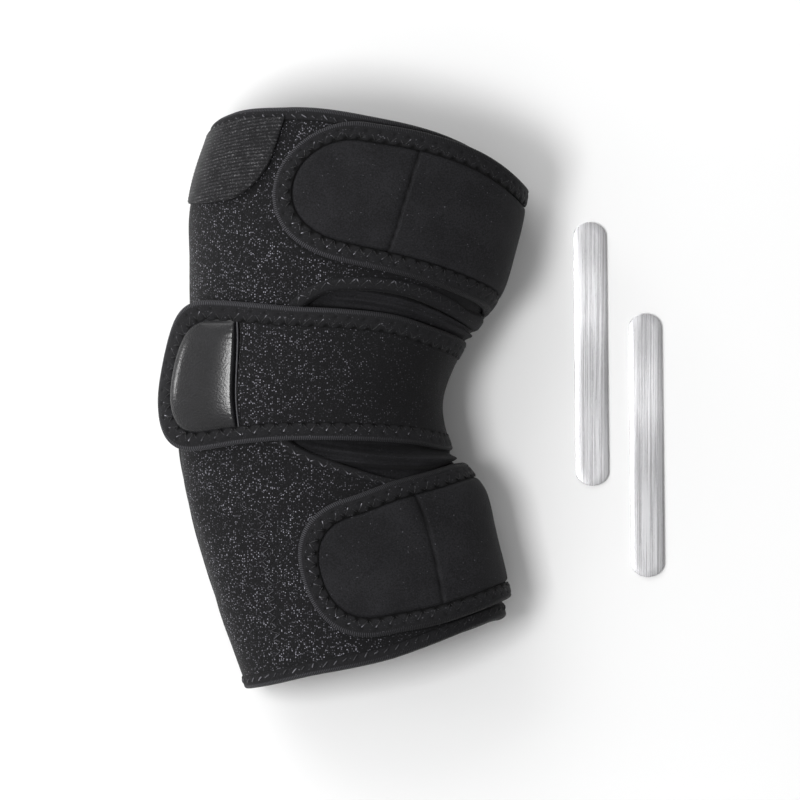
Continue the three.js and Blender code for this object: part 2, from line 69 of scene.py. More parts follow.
lowerRows = {
    "along": [0.614, 0.718, 0.851, 1],
    "lean": [0.117, 0.414, 0.703, 1],
    "reach": [-0.227, -0.43, -0.699, -1],
    "width": [0.938, 1, 0.989, 0.95],
    "tilt": [0.08, 0.335, 0.566, 1],
    "height": [1.037, 1, 0.97, 0.925],
    "rise": [-0.09, -0.27, -0.55, -1],
    "behind": [0, 0, -0.4, -1],
}
sectionAlong = np.array(upperRows["along"] + [0.505] + lowerRows["along"])


# One size of every section: the upper size times its shares, the elbow's own, then the lower size times its
# shares.
def sectionSizes(key):
    upper = armShape["upper"][key] * np.array(upperRows[key])
    lower = armShape["lower"][key] * np.array(lowerRows[key])
    return np.concatenate([upper, [armShape["elbow"][key]], lower])


# A smooth curve through (marks, values): cubic pieces whose slope at a mark is the mean of the rates beside
# it, each weighted by the other side's gap, and straight lines past the ends.
def curveThrough(marks, values, at):
    marks, values = np.asarray(marks, float), np.asarray(values, float)
    gap = np.diff(marks)
    rate = np.diff(values) / gap
    inner = (rate[:-1] * gap[1:] + rate[1:] * gap[:-1]) / (gap[:-1] + gap[1:])
    slope = np.concatenate([rate[:1], inner, rate[-1:]])
    i = np.clip(np.searchsorted(marks, at, side="right") - 1, 0, len(gap) - 1)
    free = (at - marks[i]) / gap[i]
    t = np.clip(free, 0, 1)
    blend = t * t * (3 - 2 * t)
    bend = gap[i] * (slope[i] * t * (1 - t) ** 2 - slope[i + 1] * t * t * (1 - t))
    past = (free - t) * gap[i] * np.where(free < 0, slope[i], slope[i + 1])
    return values[i] * (1 - blend) + values[i + 1] * blend + bend + past


# The middle of the two curves through the rows' second and third values, and half the distance between them.
def middleAndHalf(rows, turn):
    upper, lower = (curveThrough(rows[:, 0], rows[:, i], turn) for i in (1, 2))
    return (upper + lower) / 2, (lower - upper) / 2


# 0 below 0 and 1 above 1, with a soft step between them.
def smooth(t):
    t = np.clip(t, 0, 1)
    return t * t * (3 - 2 * t)


# A soft step up that begins at start, a soft step down that ends at end, and a bell round a middle.
def rising(value, start, width):
    return smooth((value - start) / width)


def falling(value, end, width):
    return smooth((end - value) / width)


def bell(value, middle, width):
    return np.exp(-(((value - middle) / width) ** 2))


# A point on the arm: a squarish oval round the limb at turn degrees, moved out by lift, flattened at z = 0,
# set on its section's middle and tilt. turn is 0 at the crook, 90 on top and 180 at the point of the elbow.
def armPoint(turn, along, lift):
    turn, along, lift = np.broadcast_arrays(np.asarray(turn, float), along, lift)
    size = {key: curveThrough(sectionAlong, sectionSizes(key), along) for key in armShape["upper"]}
    angle, power = np.radians(turn), armShape["squareness"]
    oval = (np.abs(np.cos(angle)) ** power + np.abs(np.sin(angle)) ** power) ** (-1 / power)
    across = oval * np.cos(angle)
    halfHeight = size["height"] / (2 - armShape["pressedShare"])
    out = (size["width"] / 2 + lift) * across
    up = size["height"] - halfHeight + (halfHeight + lift) * oval * np.sin(angle)
    upperTurn, lowerTurn = armShape["behindTurn"]
    behindTurn = np.where(along < armShape["behindSplit"], upperTurn, lowerTurn)
    facing = np.clip(np.cos(angle - np.radians(behindTurn)), 0, None)
    rise = size["rise"] * (1 - np.abs(across) ** armShape["rimRoundness"]) + size["behind"] * facing**2
    tilt = np.radians(size["tilt"])
    x = size["lean"] + out * np.cos(tilt) - rise * np.sin(tilt)
    y = size["reach"] + out * np.sin(tilt) + rise * np.cos(tilt)
    return np.stack([x, y, np.maximum(up, np.maximum(-lift, 0))], axis=-1)


# Millimetres for a whole step of along, and for a degree of turn.
def alongPace(turn, along):
    return np.linalg.norm(armPoint(turn, along + 0.01, 0) - armPoint(turn, along, 0), axis=-1) / 0.01


def turnPace(turn, along):
    return np.linalg.norm(armPoint(turn + 1, along, 0) - armPoint(turn, along, 0), axis=-1)


# The values of t that spread points evenly, step millimetres apart, along the line that place(t) draws as t
# goes from start to end, and their runs along it.
def evenly(place, start, end, step):
    t = np.linspace(start, end, 1200)
    line = place(t)
    run = np.concatenate([[0], np.cumsum(np.linalg.norm(np.diff(line, axis=0), axis=1))])
    count = max(int(round(run[-1] / step)), 2)
    even = np.linspace(0, run[-1], count + 1)
    return np.interp(even, run, t), even


# Quads between neighbouring rows and columns of a grid of numbered points, closed round its columns if
# asked.
def gridQuads(rows, columns, closed=False, first=0):
    index = first + np.arange(rows * columns).reshape(rows, columns)
    if closed:
        index = np.column_stack([index, index[:, 0]])
    return np.stack([index[:-1, :-1], index[1:, :-1], index[1:, 1:], index[:-1, 1:]], axis=-1).reshape(-1, 4)


# The two ends of a closed profile carried along a path: each point joined to the one opposite it in the
# loop.
def endQuads(rows, columns, first=0):
    index = first + np.arange(rows * columns).reshape(rows, columns)
    half = columns // 2
    there, back = index[[0, -1], :half], index[[0, -1], half:][:, ::-1]
    return np.stack([there[:, :-1], there[:, 1:], back[:, 1:], back[:, :-1]], axis=-1).reshape(-1, 4)


# A sheet with two faces: each row goes out over its top and back over its under face.
def twoFaces(top, under):
    loop = np.concatenate([top, under[:, ::-1]], axis=1)
    rows, columns = loop.shape[:2]
    return loop, np.concatenate([gridQuads(rows, columns, closed=True), endQuads(rows, columns)])


# A value painted on the top of such a sheet, with 0 on its under face.
def onTop(paint):
    return np.concatenate([paint, 0 * paint], axis=1)


# Makes a mesh piece from points in millimetres and quads, merges the points that meet, and lets it ride.
def makePiece(name, points, quads, material, nodes=(), uv=None, fleck=None, shade=None):
    points = np.asarray(points, float).reshape(-1, 3)
    mesh = bpy.data.meshes.new(name)
    mesh.from_pydata((points * mm).tolist(), [], np.asarray(quads).tolist())
    corners = np.zeros(len(mesh.loops), np.int32)
    mesh.loops.foreach_get("vertex_index", corners)
    if uv is not None:
        layer = mesh.uv_layers.new(name="UVMap")
        layer.data.foreach_set("uv", (np.asarray(uv, float).reshape(-1, 2) * mm)[corners].ravel())
    for key, paint in (("fleck", fleck), ("shade", shade)):
        if paint is not None:
            layer = mesh.attributes.new(key, "FLOAT", "POINT")
            layer.data.foreach_set("value", np.asarray(paint, float).ravel())
    work = bmesh.new()
    work.from_mesh(mesh)
    bmesh.ops.remove_doubles(work, verts=work.verts, dist=2e-6)
    bmesh.ops.dissolve_degenerate(work, edges=work.edges, dist=1e-7)
    bmesh.ops.recalc_face_normals(work, faces=work.faces)
    work.to_mesh(mesh)
    work.free()
    mesh.materials.append(material)
    mesh.shade_smooth()
    mesh.set_sharp_from_angle(angle=math.radians(76))
    piece = bpy.data.objects.new(name, mesh)
    bpy.context.scene.collection.objects.link(piece)
    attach(piece, "root")
    if nodes:
        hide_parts(*nodes)
    print("made", name, len(mesh.polygons), "faces")


# Materials

# Adds a shader node, sets its options, and sets or links its inputs.
def addNode(tree, kind, inputs=None, **options):
    made = tree.nodes.new("ShaderNode" + kind)
    for key, value in options.items():
        setattr(made, key, value)
    for key, value in (inputs or {}).items():
        if isinstance(value, bpy.types.NodeSocket):
            tree.links.new(value, made.inputs[key])
        else:
            made.inputs[key].default_value = value
    return made


def mathNode(tree, operation, a, b=0.0):
    return addNode(tree, "Math", {0: a, 1: b}, operation=operation).outputs[0]


def times(tree, a, b):
    return mathNode(tree, "MULTIPLY", a, b)


def plus(tree, a, b):
    return mathNode(tree, "ADD", a, b)


# A value times a factor, plus a start.
def scaled(tree, value, factor, start):
    return addNode(tree, "Math", {0: value, 1: factor, 2: start}, operation="MULTIPLY_ADD").outputs[0]


# A value stretched from one range to another, with soft ends unless straight.
def stepped(tree, value, low, high, start=0.0, end=1.0, straight=False):
    inputs = {"Value": value, "From Min": low, "From Max": high, "To Min": start, "To Max": end}
    kind = "LINEAR" if straight else "SMOOTHSTEP"
    return addNode(tree, "MapRange", inputs, interpolation_type=kind).outputs[0]


def mixColour(tree, factor, a, b):
    made = addNode(tree, "Mix", {0: factor, 6: a, 7: b}, data_type="RGBA")
    return made.outputs[2]


# A near-neutral colour: warm above 0 takes blue away, and below 0 adds some, as in black cloth.
def grey(value, warm=-0.06):
    return (value, value * (1 + 0.2 * warm), value * (1 - 1.8 * warm), 1)


# Places on the piece, in metres.
def placeOn(tree):
    return addNode(tree, "TexCoord").outputs["Object"]


def flatMapOf(tree):
    return addNode(tree, "SeparateXYZ", {0: addNode(tree, "TexCoord").outputs["UV"]}).outputs


def painted(tree, key):
    return addNode(tree, "Attribute", attribute_name=key).outputs["Fac"]


def noise(tree, place, scale, detail, roughness=0.5):
    inputs = {"Vector": place, "Scale": scale, "Detail": detail, "Roughness": roughness}
    return addNode(tree, "TexNoise", inputs).outputs["Fac"]


# A wave from 0 to 1 with a pitch in millimetres along a flat map's direction, pushed on by shift.
def ribWave(tree, along, pitch, shift=0.0):
    turns = plus(tree, times(tree, along, 2 * math.pi / (pitch * mm)), shift)
    return scaled(tree, mathNode(tree, "SINE", turns), 0.5, 0.5)


def startMaterial(name, **constants):
    made = bpy.data.materials.new(name)
    made.use_nodes = True
    shader = made.node_tree.nodes["Principled BSDF"]
    for key, value in constants.items():
        shader.inputs[key.replace("_", " ")].default_value = value
    return made, made.node_tree, shader


# The last nodes: the colour darkened towards near-black by the shade attribute, which holds painted shade,
# the roughness, and a bump from the height.
def finishMaterial(tree, shader, colour, roughness, height, depth, distance):
    colour = mixColour(tree, painted(tree, "shade"), colour, grey(0.001))
    bump = addNode(tree, "Bump", {"Height": height, "Strength": depth, "Distance": distance})
    tree.links.new(colour, shader.inputs["Base Color"])
    tree.links.new(roughness, shader.inputs["Roughness"])
    tree.links.new(bump.outputs[0], shader.inputs["Normal"])


loopClothLook = {
    "base": 0.0045,
    "pile": 0.0105,
    "fleck": 0.33,
    "rarity": 3.3,
    "lining": 0.04,
    "sheen": 0.05,
    "pileScale": 2200,
    "curlScale": 1350,
    "patchScale": 90,
}


# Brushed loop cloth: dark pile from fine noise, with a small bright curl in the middle of some cells of a
# cell texture: the cloth's light curls, painted bright as the glints of its sparkle. A coarser noise gathers
# the curls in patches, each cell's own number gives its brightness, and the fleck attribute sets how many
# show;
# pieces paint it lower where they turn from the light, as painted shade. Where fleck is 0 the cloth is the
# plain lining.
def loopClothMaterial(name, look):
    made, tree, shader = startMaterial(
        name, Specular_IOR_Level=0.16, Sheen_Weight=look["sheen"], Sheen_Roughness=0.35
    )
    place = placeOn(tree)
    inputs = {"Vector": place, "Scale": look["pileScale"], "Detail": 3, "Roughness": 0.75}
    pileColour, pile = (addNode(tree, "TexNoise", inputs).outputs[key] for key in ("Color", "Fac"))
    bent = addNode(tree, "VectorMath", {0: pileColour, "Scale": 0.0003}, operation="SCALE").outputs[0]
    moved = addNode(tree, "VectorMath", {0: place, 1: bent}).outputs[0]
    cells = addNode(tree, "TexVoronoi", {"Vector": moved, "Scale": look["curlScale"]})
    number = addNode(tree, "SeparateXYZ", {0: cells.outputs["Color"]}).outputs[0]
    patches = stepped(tree, noise(tree, place, look["patchScale"], 3, 0.65), 0.3, 0.68, 0.8, 1.0)
    amount = painted(tree, "fleck")
    unlit = mathNode(tree, "SUBTRACT", 1.0, times(tree, amount, patches))
    bright = times(tree, mathNode(tree, "SUBTRACT", number, unlit), 1.1)
    bright = mathNode(tree, "POWER", mathNode(tree, "MAXIMUM", bright, 0.0), look["rarity"])
    fleck = times(tree, stepped(tree, cells.outputs["Distance"], 0.46, 0.2), bright)
    dark = mixColour(tree, stepped(tree, pile, 0.4, 0.72), grey(look["base"]), grey(look["pile"]))
    colour = mixColour(tree, fleck, dark, grey(look["fleck"], -0.07))
    colour = mixColour(tree, stepped(tree, amount, 0.1, 0.02), colour, grey(look["lining"], -0.02))
    roughness = stepped(tree, fleck, 0, 1, 0.8, 0.45)
    finishMaterial(tree, shader, colour, roughness, plus(tree, pile, times(tree, fleck, 0.8)), 0.6, 0.0004)
    return made


smoothClothLook = {"base": 0.0068, "grain": 0.0185, "dust": 0.085, "sheen": 0.03, "grainScale": 1500}


# Matt jersey: a fine grain of noise on two scales, with faint specks of dust where a noise peaks.
def smoothClothMaterial(name, look):
    made, tree, shader = startMaterial(
        name, Specular_IOR_Level=0.14, Sheen_Weight=look["sheen"], Sheen_Roughness=0.5
    )
    place = placeOn(tree)
    grain = noise(tree, place, look["grainScale"], 3, 0.75)
    tone = stepped(tree, noise(tree, place, 60, 3), 0.3, 0.7, 0.9, 1.1)
    knit = addNode(tree, "TexWave", {"Vector": place, "Scale": 480, "Distortion": 3, "Detail": 1})
    weave = stepped(tree, times(tree, grain, tone), 0.34, 0.66)
    cloth = mixColour(tree, weave, grey(look["base"]), grey(look["grain"]))
    speck = stepped(tree, noise(tree, place, 1150, 0.5), 0.74, 0.86)
    colour = mixColour(tree, speck, cloth, grey(look["dust"]))
    height = plus(tree, grain, times(tree, knit.outputs["Fac"], 0.12))
    roughness = stepped(tree, grain, 0.2, 0.8, 0.75, 0.95)
    finishMaterial(tree, shader, colour, roughness, height, 0.45, 0.0003)
    return made


tapeLook = {"base": 0.0072, "speck": 0.09, "thread": 0.055, "ribPitch": 0.74, "ribWidth": 1.9}


# Edge tape: its UV map holds the run along the edge and the distance in from it. Near the edge the overlock
# threads are ribs across it, and further in it is a fine twill. Between the ribs the cloth is painted
# near-black as shade, and the fleck attribute sets how light the threads are, as painted light and shade.
def tapeMaterial(name, look, ribs=1.0):
    made, tree, shader = startMaterial(
        name, Specular_IOR_Level=0.16, Sheen_Weight=0.02, Sheen_Roughness=0.5
    )
    along, inward, _ = flatMapOf(tree)
    place = placeOn(tree)
    grain = noise(tree, place, 2400, 3, 0.7)
    wave = ribWave(tree, along, look["ribPitch"], times(tree, noise(tree, place, 260, 1), 5.0))
    width = look["ribWidth"] * mm
    edge = stepped(tree, inward, width * 1.15, width * 0.8, 0.0, ribs)
    rib = times(tree, wave, edge)
    # The threads' lightness times the fleck attribute, which the tapes paint lower towards +x as painted
    # shade.
    lit = times(tree, rib, painted(tree, "fleck"))
    twill = stepped(tree, grain, 0.35, 0.75)
    cloth = mixColour(tree, twill, grey(look["base"]), grey(look["base"] * 2))
    specks = stepped(tree, noise(tree, place, 1500, 0.5), 0.68, 0.84)
    cloth = mixColour(tree, specks, cloth, grey(look["speck"]))
    # Painted shade in the gaps between the overlock threads.
    between = mixColour(tree, times(tree, edge, 0.75), cloth, grey(0.003))
    colour = mixColour(tree, lit, between, grey(look["thread"]))
    roughness = stepped(tree, rib, 0, 1, 0.82, 0.55)
    finishMaterial(tree, shader, colour, roughness, plus(tree, times(tree, grain, 0.45), rib), 0.6, 0.0003)
    return made


ribbedLook = {"base": 0.0062, "rib": 0.027, "fleck": 0.27, "paintedSheen": 0.045, "ribPitch": 1.27, "sheen": 0.1}


# Ribbed cloth: waves across the UV map's second direction, fading in places by noise, with short light
# threads on them. Where the fleck attribute is high, a painted sheen lightens it.
def ribbedMaterial(name, look):
    made, tree, shader = startMaterial(
        name, Specular_IOR_Level=0.2, Sheen_Weight=look["sheen"], Sheen_Roughness=0.3
    )
    place = placeOn(tree)
    wave = ribWave(tree, flatMapOf(tree)[1], look["ribPitch"])
    drawn = addNode(tree, "Mapping", {"Vector": place, "Scale": (0.85, 1.2, 1.0)}).outputs[0]
    breaks = noise(tree, drawn, 1300, 2, 0.75)
    wear = stepped(tree, noise(tree, place, 160, 3), 0.3, 0.7, 0.25, 1.0)
    rib = times(tree, wave, wear)
    grain = scaled(tree, breaks, 0.7, 0.1)
    cloth = mixColour(tree, times(tree, rib, grain), grey(look["base"]), grey(look["rib"]))
    dashes = times(tree, scaled(tree, rib, 0.6, 0.07), stepped(tree, breaks, 0.53, 0.71))
    colour = mixColour(tree, dashes, cloth, grey(look["fleck"], -0.02))
    # Painted sheen: a lighter colour where the fleck attribute is high, broken up by the grain.
    paintedSheen = times(tree, painted(tree, "fleck"), grain)
    colour = mixColour(tree, paintedSheen, colour, grey(look["paintedSheen"], -0.02))
    roughness = stepped(tree, rib, 0, 1, 0.85, 0.6)
    finishMaterial(tree, shader, colour, roughness, plus(tree, rib, breaks), 0.5, 0.0003)
    return made


leatherLook = {"base": 0.005, "light": 0.008, "roughness": (0.3, 0.45), "pebbleScale": 1250, "coat": 0.6}


# Soft coated leather: a pebble of small cells and finer creases, glossy, with a clear coat that the pebble
# still shows through.
def leatherMaterial(name, look):
    made, tree, shader = startMaterial(
        name, Coat_Weight=look["coat"], Coat_Roughness=0.2, Specular_IOR_Level=0.1
    )
    place = placeOn(tree)
    cells = {"Vector": place, "Scale": look["pebbleScale"]}
    pebble = addNode(tree, "TexVoronoi", cells, feature="SMOOTH_F1").outputs["Distance"]
    fine = noise(tree, place, 1900, 4, 0.65)
    tone = stepped(tree, noise(tree, place, 120, 2), 0.3, 0.7)
    colour = mixColour(tree, tone, grey(look["base"], -0.09), grey(look["light"], -0.09))
    roughness = stepped(tree, fine, 0.25, 0.75, *look["roughness"])
    height = plus(tree, pebble, times(tree, fine, 0.6))
    finishMaterial(tree, shader, colour, roughness, height, 1.0, 0.0005)
    grain = addNode(tree, "Bump", {"Height": height, "Strength": 0.12, "Distance": 0.0003})
    tree.links.new(grain.outputs[0], shader.inputs["Coat Normal"])
    return made


metalLook = {
    "base": 0.93,
    "streak": 0.66,
    "roughness": (0.22, 0.34),
    "paintedReflectionMarks": (0.0, 0.13, 0.22, 0.36, 0.47, 0.58, 0.78, 1.0),
    "paintedReflectionLights": (0.8, 0.82, 0.97, 1.0, 0.78, 0.7, 0.76, 0.8),
}


# Brushed aluminium: noise drawn out along the strip, as streaks in colour, roughness and height. Bands of
# painted reflection run down the strip from its top, as zones of brightness in the colour.
def metalMaterial(name, look, low, high):
    made, tree, shader = startMaterial(name, Metallic=1.0)
    place = placeOn(tree)
    drawn = addNode(tree, "Mapping", {"Vector": place, "Scale": (1.0, 0.01, 1.0)}).outputs[0]
    streaks = noise(tree, drawn, 1300, 6, 0.75)
    y = addNode(tree, "SeparateXYZ", {0: place}).outputs[1]
    # Painted reflection: bright and dark bands down the strip, multiplied into the colour.
    paintedReflection = addNode(tree, "ValToRGB", {"Fac": stepped(tree, y, high, low, straight=True)})
    ramp = paintedReflection.color_ramp.elements
    for mark in look["paintedReflectionMarks"][1:-1]:
        ramp.new(mark)
    for element, mark, light in zip(ramp, look["paintedReflectionMarks"], look["paintedReflectionLights"]):
        element.position = mark
        element.color = grey(light, -0.005)
    lit = stepped(tree, streaks, 0.3, 0.7)
    colour = mixColour(tree, lit, grey(look["streak"], -0.01), grey(look["base"], -0.006))
    both = {0: 1.0, 6: colour, 7: paintedReflection.outputs[0]}
    colour = addNode(tree, "Mix", both, data_type="RGBA", blend_type="MULTIPLY").outputs[2]
    roughness = stepped(tree, streaks, 0.3, 0.7, *look["roughness"])
    height = plus(tree, streaks, times(tree, noise(tree, place, 45, 3), 0.2))
    finishMaterial(tree, shader, colour, roughness, height, 0.1, 0.0001)
    return made


threadLook = {"base": 0.005, "light": 0.0115, "glint": 0.55}


# Sewing thread: dark, with lighter strands that twist round it, and a painted glint, a light colour, where
# the fleck attribute is high.
def threadMaterial(name, look):
    made, tree, shader = startMaterial(name, Specular_IOR_Level=0.3)
    twist = noise(tree, placeOn(tree), 1100, 2)
    strand = stepped(tree, twist, 0.4, 0.7)
    colour = mixColour(tree, strand, grey(look["base"]), grey(look["light"]))
    colour = mixColour(tree, painted(tree, "fleck"), colour, grey(look["glint"]))
    finishMaterial(tree, shader, colour, stepped(tree, twist, 0.3, 0.7, 0.6, 0.4), twist, 0.3, 0.0002)
    return made


floorLook = {"pale": 0.9, "soft": 0.94}


# The floor: a matt pale sheet with the faintest unevenness.
def floorMaterial(name, look):
    made, tree, shader = startMaterial(name)
    tone = noise(tree, placeOn(tree), 3, 2)
    colour = mixColour(tree, tone, grey(look["pale"], 0), grey(look["soft"], 0))
    finishMaterial(tree, shader, colour, stepped(tree, tone, 0, 1, 0.85, 0.95), tone, 0.02, 0.001)
    return made


loopCloth = loopClothMaterial("loopCloth", loopClothLook)
smoothCloth = smoothClothMaterial("smoothCloth", smoothClothLook)
overlockTape = tapeMaterial("overlockTape", tapeLook)
plainTape = tapeMaterial("plainTape", tapeLook, ribs=0.0)
ribbedCloth = ribbedMaterial("ribbedCloth", ribbedLook)
tabLeather = leatherMaterial("tabLeather", leatherLook)
darkThread = threadMaterial("darkThread", threadLook)
print("materials made")

# The wrap and its tapes

wrapShape = {
    "wall": 4,
    "tapeProud": 0.6,
    "rimBand": 6,
    "crookBand": 5.5,
    "tuckedIn": 2,  # how far the cloth stops short of its edge, inside the tape
    "slitTurn": 30,
    "slitGap": 0.02,  # degrees from the slit's middle to each free edge
    "openingShape": 2.6,
    "nearEnd": (85, 107),  # the turns where each end of the opening starts to close, and closes
    "farEnd": (-9, -22),
    "dents": 0.45,
}
openingRows = np.array([
    [-24, 0.345, 0.66],
    [0, 0.338, 0.68],
    [25, 0.324, 0.678],
    [45, 0.305, 0.674],
    [62, 0.293, 0.653],
    [75, 0.291, 0.626],
    [90, 0.297, 0.596],
    [107, 0.308, 0.575],
])
closedAlong = openingRows[-1, 1:].mean()


# The opening's edge at a turn: halfway between its two curves, plus or minus half their distance and grow.
def openingEdge(turn, side, grow):
    held = np.clip(turn, wrapShape["farEnd"][1], wrapShape["nearEnd"][1])
    middle, half = middleAndHalf(openingRows, held)
    return middle + side * (half + grow / alongPace(held, middle))


# The turn that is ahead of the way into one of the opening's rounded ends.
def endTurn(end, ahead, grow):
    start, tip = end
    reach = tip - start + np.sign(tip - start) * grow / turnPace(tip, closedAlong)
    return start + reach * ahead


# A quarter of a full-cornered oval: how far ahead and how far aside, for angles from its side to its end.
def quarterOval(shape, angle):
    return np.sin(angle) ** (2 / shape), np.clip(np.cos(angle), 0, None) ** (2 / shape)


# Each roll: its lift, the alongs where it starts to rise and where it ends, with the width of each step, and
# the middle and width of its turns.
crookRolls = [
    (1.7, (0.24, 0.05), (0.43, 0.07), (-4, 27)),
    (3.0, (0.2925, 0.012), (0.43, 0.07), (-4, 27)),
    (3.6, (0.6, 0.03), (0.74, 0.05), (-12, 24)),
]


# How far the wrap's edges roll outward at the crook: the sum of the rolls, each a lift times its steps along
# the arm and a bell round the crook.
def crookRoll(turn, along):
    return sum(
        lift * rising(along, *start) * falling(along, *end) * bell(turn, *window)
        for lift, start, end, window in crookRolls
    )


# How much further each rim reaches, and the turns where that starts and ends, with the width of each step.
rimReaches = {"upper": (-0.0092, (122, 26), (184, 28)), "lower": (0.017, (-20, 35), (128, 50))}


# How much further a rim reaches, as a share of along: the lower rim in front, beside the crook, and the upper
# rim at its corner on the elbow's side.
def rimReach(turn, side):
    reach, start, end = rimReaches["lower" if side > 0 else "upper"]
    at = (turn + 180) % 360 - 180 if side > 0 else turn
    return reach * rising(at, *start) * falling(at, *end)


# How many flecks show on the wrap, as painted light and shade: few on the crook's side, which turns from the
# light, more on top, and fewest in a band beside the opening.
wrapFlecks = {"few": 0.55, "from": (38, 70), "to": (300, 60), "fewest": 0.084}
fewestBand = {"along": (0.32, 0.035), "from": (-40, 20), "to": (70, 25)}


# Low dents and swells in the cloth, the sum of two products of long waves round and along the arm.
def clothDents(turn, along):
    waves = np.sin(turn / 19 + along * 9) * np.sin(along * 17 - turn / 41)
    return wrapShape["dents"] * (waves + 0.5 * np.sin(turn / 7.5 + along * 31) * np.sin(along * 23 + 1))


# The wrap's cloth: columns round the arm and rows along it, outer and inner faces joined at the edges, one
# sheet above the opening and one below, which meet where it is closed. Dents and the crook's rolls lift it.
def makeWrap():
    angle = np.linspace(0, math.pi / 2, 17)
    ahead, aside = quarterOval(wrapShape["openingShape"], angle)
    aside[-1] = 0
    tuck, slit, gap = wrapShape["tuckedIn"], wrapShape["slitTurn"], wrapShape["slitGap"]
    near = endTurn(wrapShape["nearEnd"], ahead, tuck)
    far = 360 + endTurn(wrapShape["farEnd"], ahead, tuck)[::-1]
    parts = [
        (np.linspace(slit + gap, near[0], 34)[:-1], 1),
        (near, aside),
        (np.linspace(near[-1], far[0], 132)[1:-1], 0),
        (far, aside[::-1]),
        (np.linspace(far[-1], 360 + slit - gap, 28)[1:], 1),
    ]
    turn = np.concatenate([part for part, _ in parts])[:, None]
    isOpen = np.concatenate([np.broadcast_to(share, part.shape) for part, share in parts])[:, None]
    around = np.where(turn > 180, turn - 360, turn)
    rows = 72
    down = 1 - (1 - np.linspace(0, 1, rows)[None, :]) ** 1.4
    points, quads, paints, first = [], [], [], 0
    for side in (-1, 1):
        rim = (side + 1) / 2 - side * tuck / alongPace(turn, (side + 1) / 2) + rimReach(turn, side)
        edge = closedAlong + (openingEdge(around, side, tuck) - closedAlong) * isOpen
        along = rim + (edge - rim) * down
        dent = clothDents(around, along) * smooth(np.sin(math.pi * down) * 1.4)
        roll = crookRoll(around, along)
        outer = armPoint(turn, along, roll + np.where(turn > 235, np.minimum(dent, 0), dent))
        inner = armPoint(turn, along, roll - wrapShape["wall"])
        loop, made = twoFaces(outer, inner)
        middleWall = made[:, 0] % (2 * rows) == rows - 1
        column = made[:, 0] // (2 * rows)
        shut = (isOpen[column, 0] == 0) & (isOpen[np.minimum(column + 1, len(turn) - 1), 0] == 0)
        quads.append(first + made[~(middleWall & shut)])
        points.append(loop.reshape(-1, 3))
        # Painted shade: fewer of the glinting flecks where the wrap turns from the light.
        few, fewest = wrapFlecks["few"], wrapFlecks["fewest"]
        lit = few + (1 - few) * rising(around, *wrapFlecks["from"]) * falling(turn, *wrapFlecks["to"])
        beside = rising(around, *fewestBand["from"]) * falling(around, *fewestBand["to"])
        lit = lit + (fewest - lit) * beside * bell(along, *fewestBand["along"])
        paints.append(onTop(lit).ravel())
        first += len(points[-1])
    points, quads, paints = (np.concatenate(parts) for parts in (points, quads, paints))
    makePiece("wrapCloth", points, quads, loopCloth, ["wrap"], fleck=paints)


# A tape's closed section: along its low face to an oval edge, back over its top, and down its inner side by a
# small round. Gives the distance in from the edge, and the height.
def tapeSection(width, low, high, innerRound=0.4, flat=10, nose=1.3):
    half = (high - low) / 2
    bend = np.radians(np.linspace(-90, 90, 13)[1:-1])
    turnDown = np.radians(np.linspace(90, 0, 4)[1:])
    inner = width - innerRound
    inward = [np.linspace(width, nose, flat), nose - nose * np.cos(bend), np.linspace(nose, inner, flat + 6)]
    inward.append(inner + innerRound * np.cos(turnDown))
    height = [np.full(flat, low), (low + high) / 2 + half * np.sin(bend), np.full(flat + 6, high)]
    height.append(high - innerRound + innerRound * np.sin(turnDown))
    return np.concatenate(inward), np.concatenate(height)


# A tape: its section carried along an edge. place(t, inward, height) gives a point, relief(run, inward) adds
# to the height of its upper face, the next function of (run, inward) gives the painted shade on it, and the
# UV map holds the run along the edge and the distance in from it.
def makeTape(name, place, ts, run, width, low, high, material, relief, paintedShade, node):
    inward, height = tapeSection(width, low, high)
    if len(inward) % 2:
        inward, height = np.append(inward, inward[-1]), np.append(height, height[-1])
    t, run, inward = ts[:, None], run[:, None], inward[None, :]
    upper = smooth((height - low) / (high - low) * 1.6 - 0.6)
    tall = height[None, :] + relief(run, inward) * upper
    points = place(t, inward, tall)
    flatMap = np.stack(np.broadcast_arrays(run, inward), axis=-1)
    rows, columns = points.shape[:2]
    quads = np.concatenate([gridQuads(rows, columns, closed=True), endQuads(rows, columns)])
    # Painted shade on the upper face.
    shade = np.clip((paintedShade(run, inward) + 0 * run) * upper, 0, 1) if paintedShade else None
    # Painted shade on the threads: the fleck attribute, which sets how light the overlock threads are, falls
    # from x = -5 mm to 60 mm, towards the side that turns from the light.
    fleck = 0.15 + 0.85 * falling(points[..., 0], 60, 65)
    makePiece(name, points, quads, material, [node], flatMap, fleck, shade)


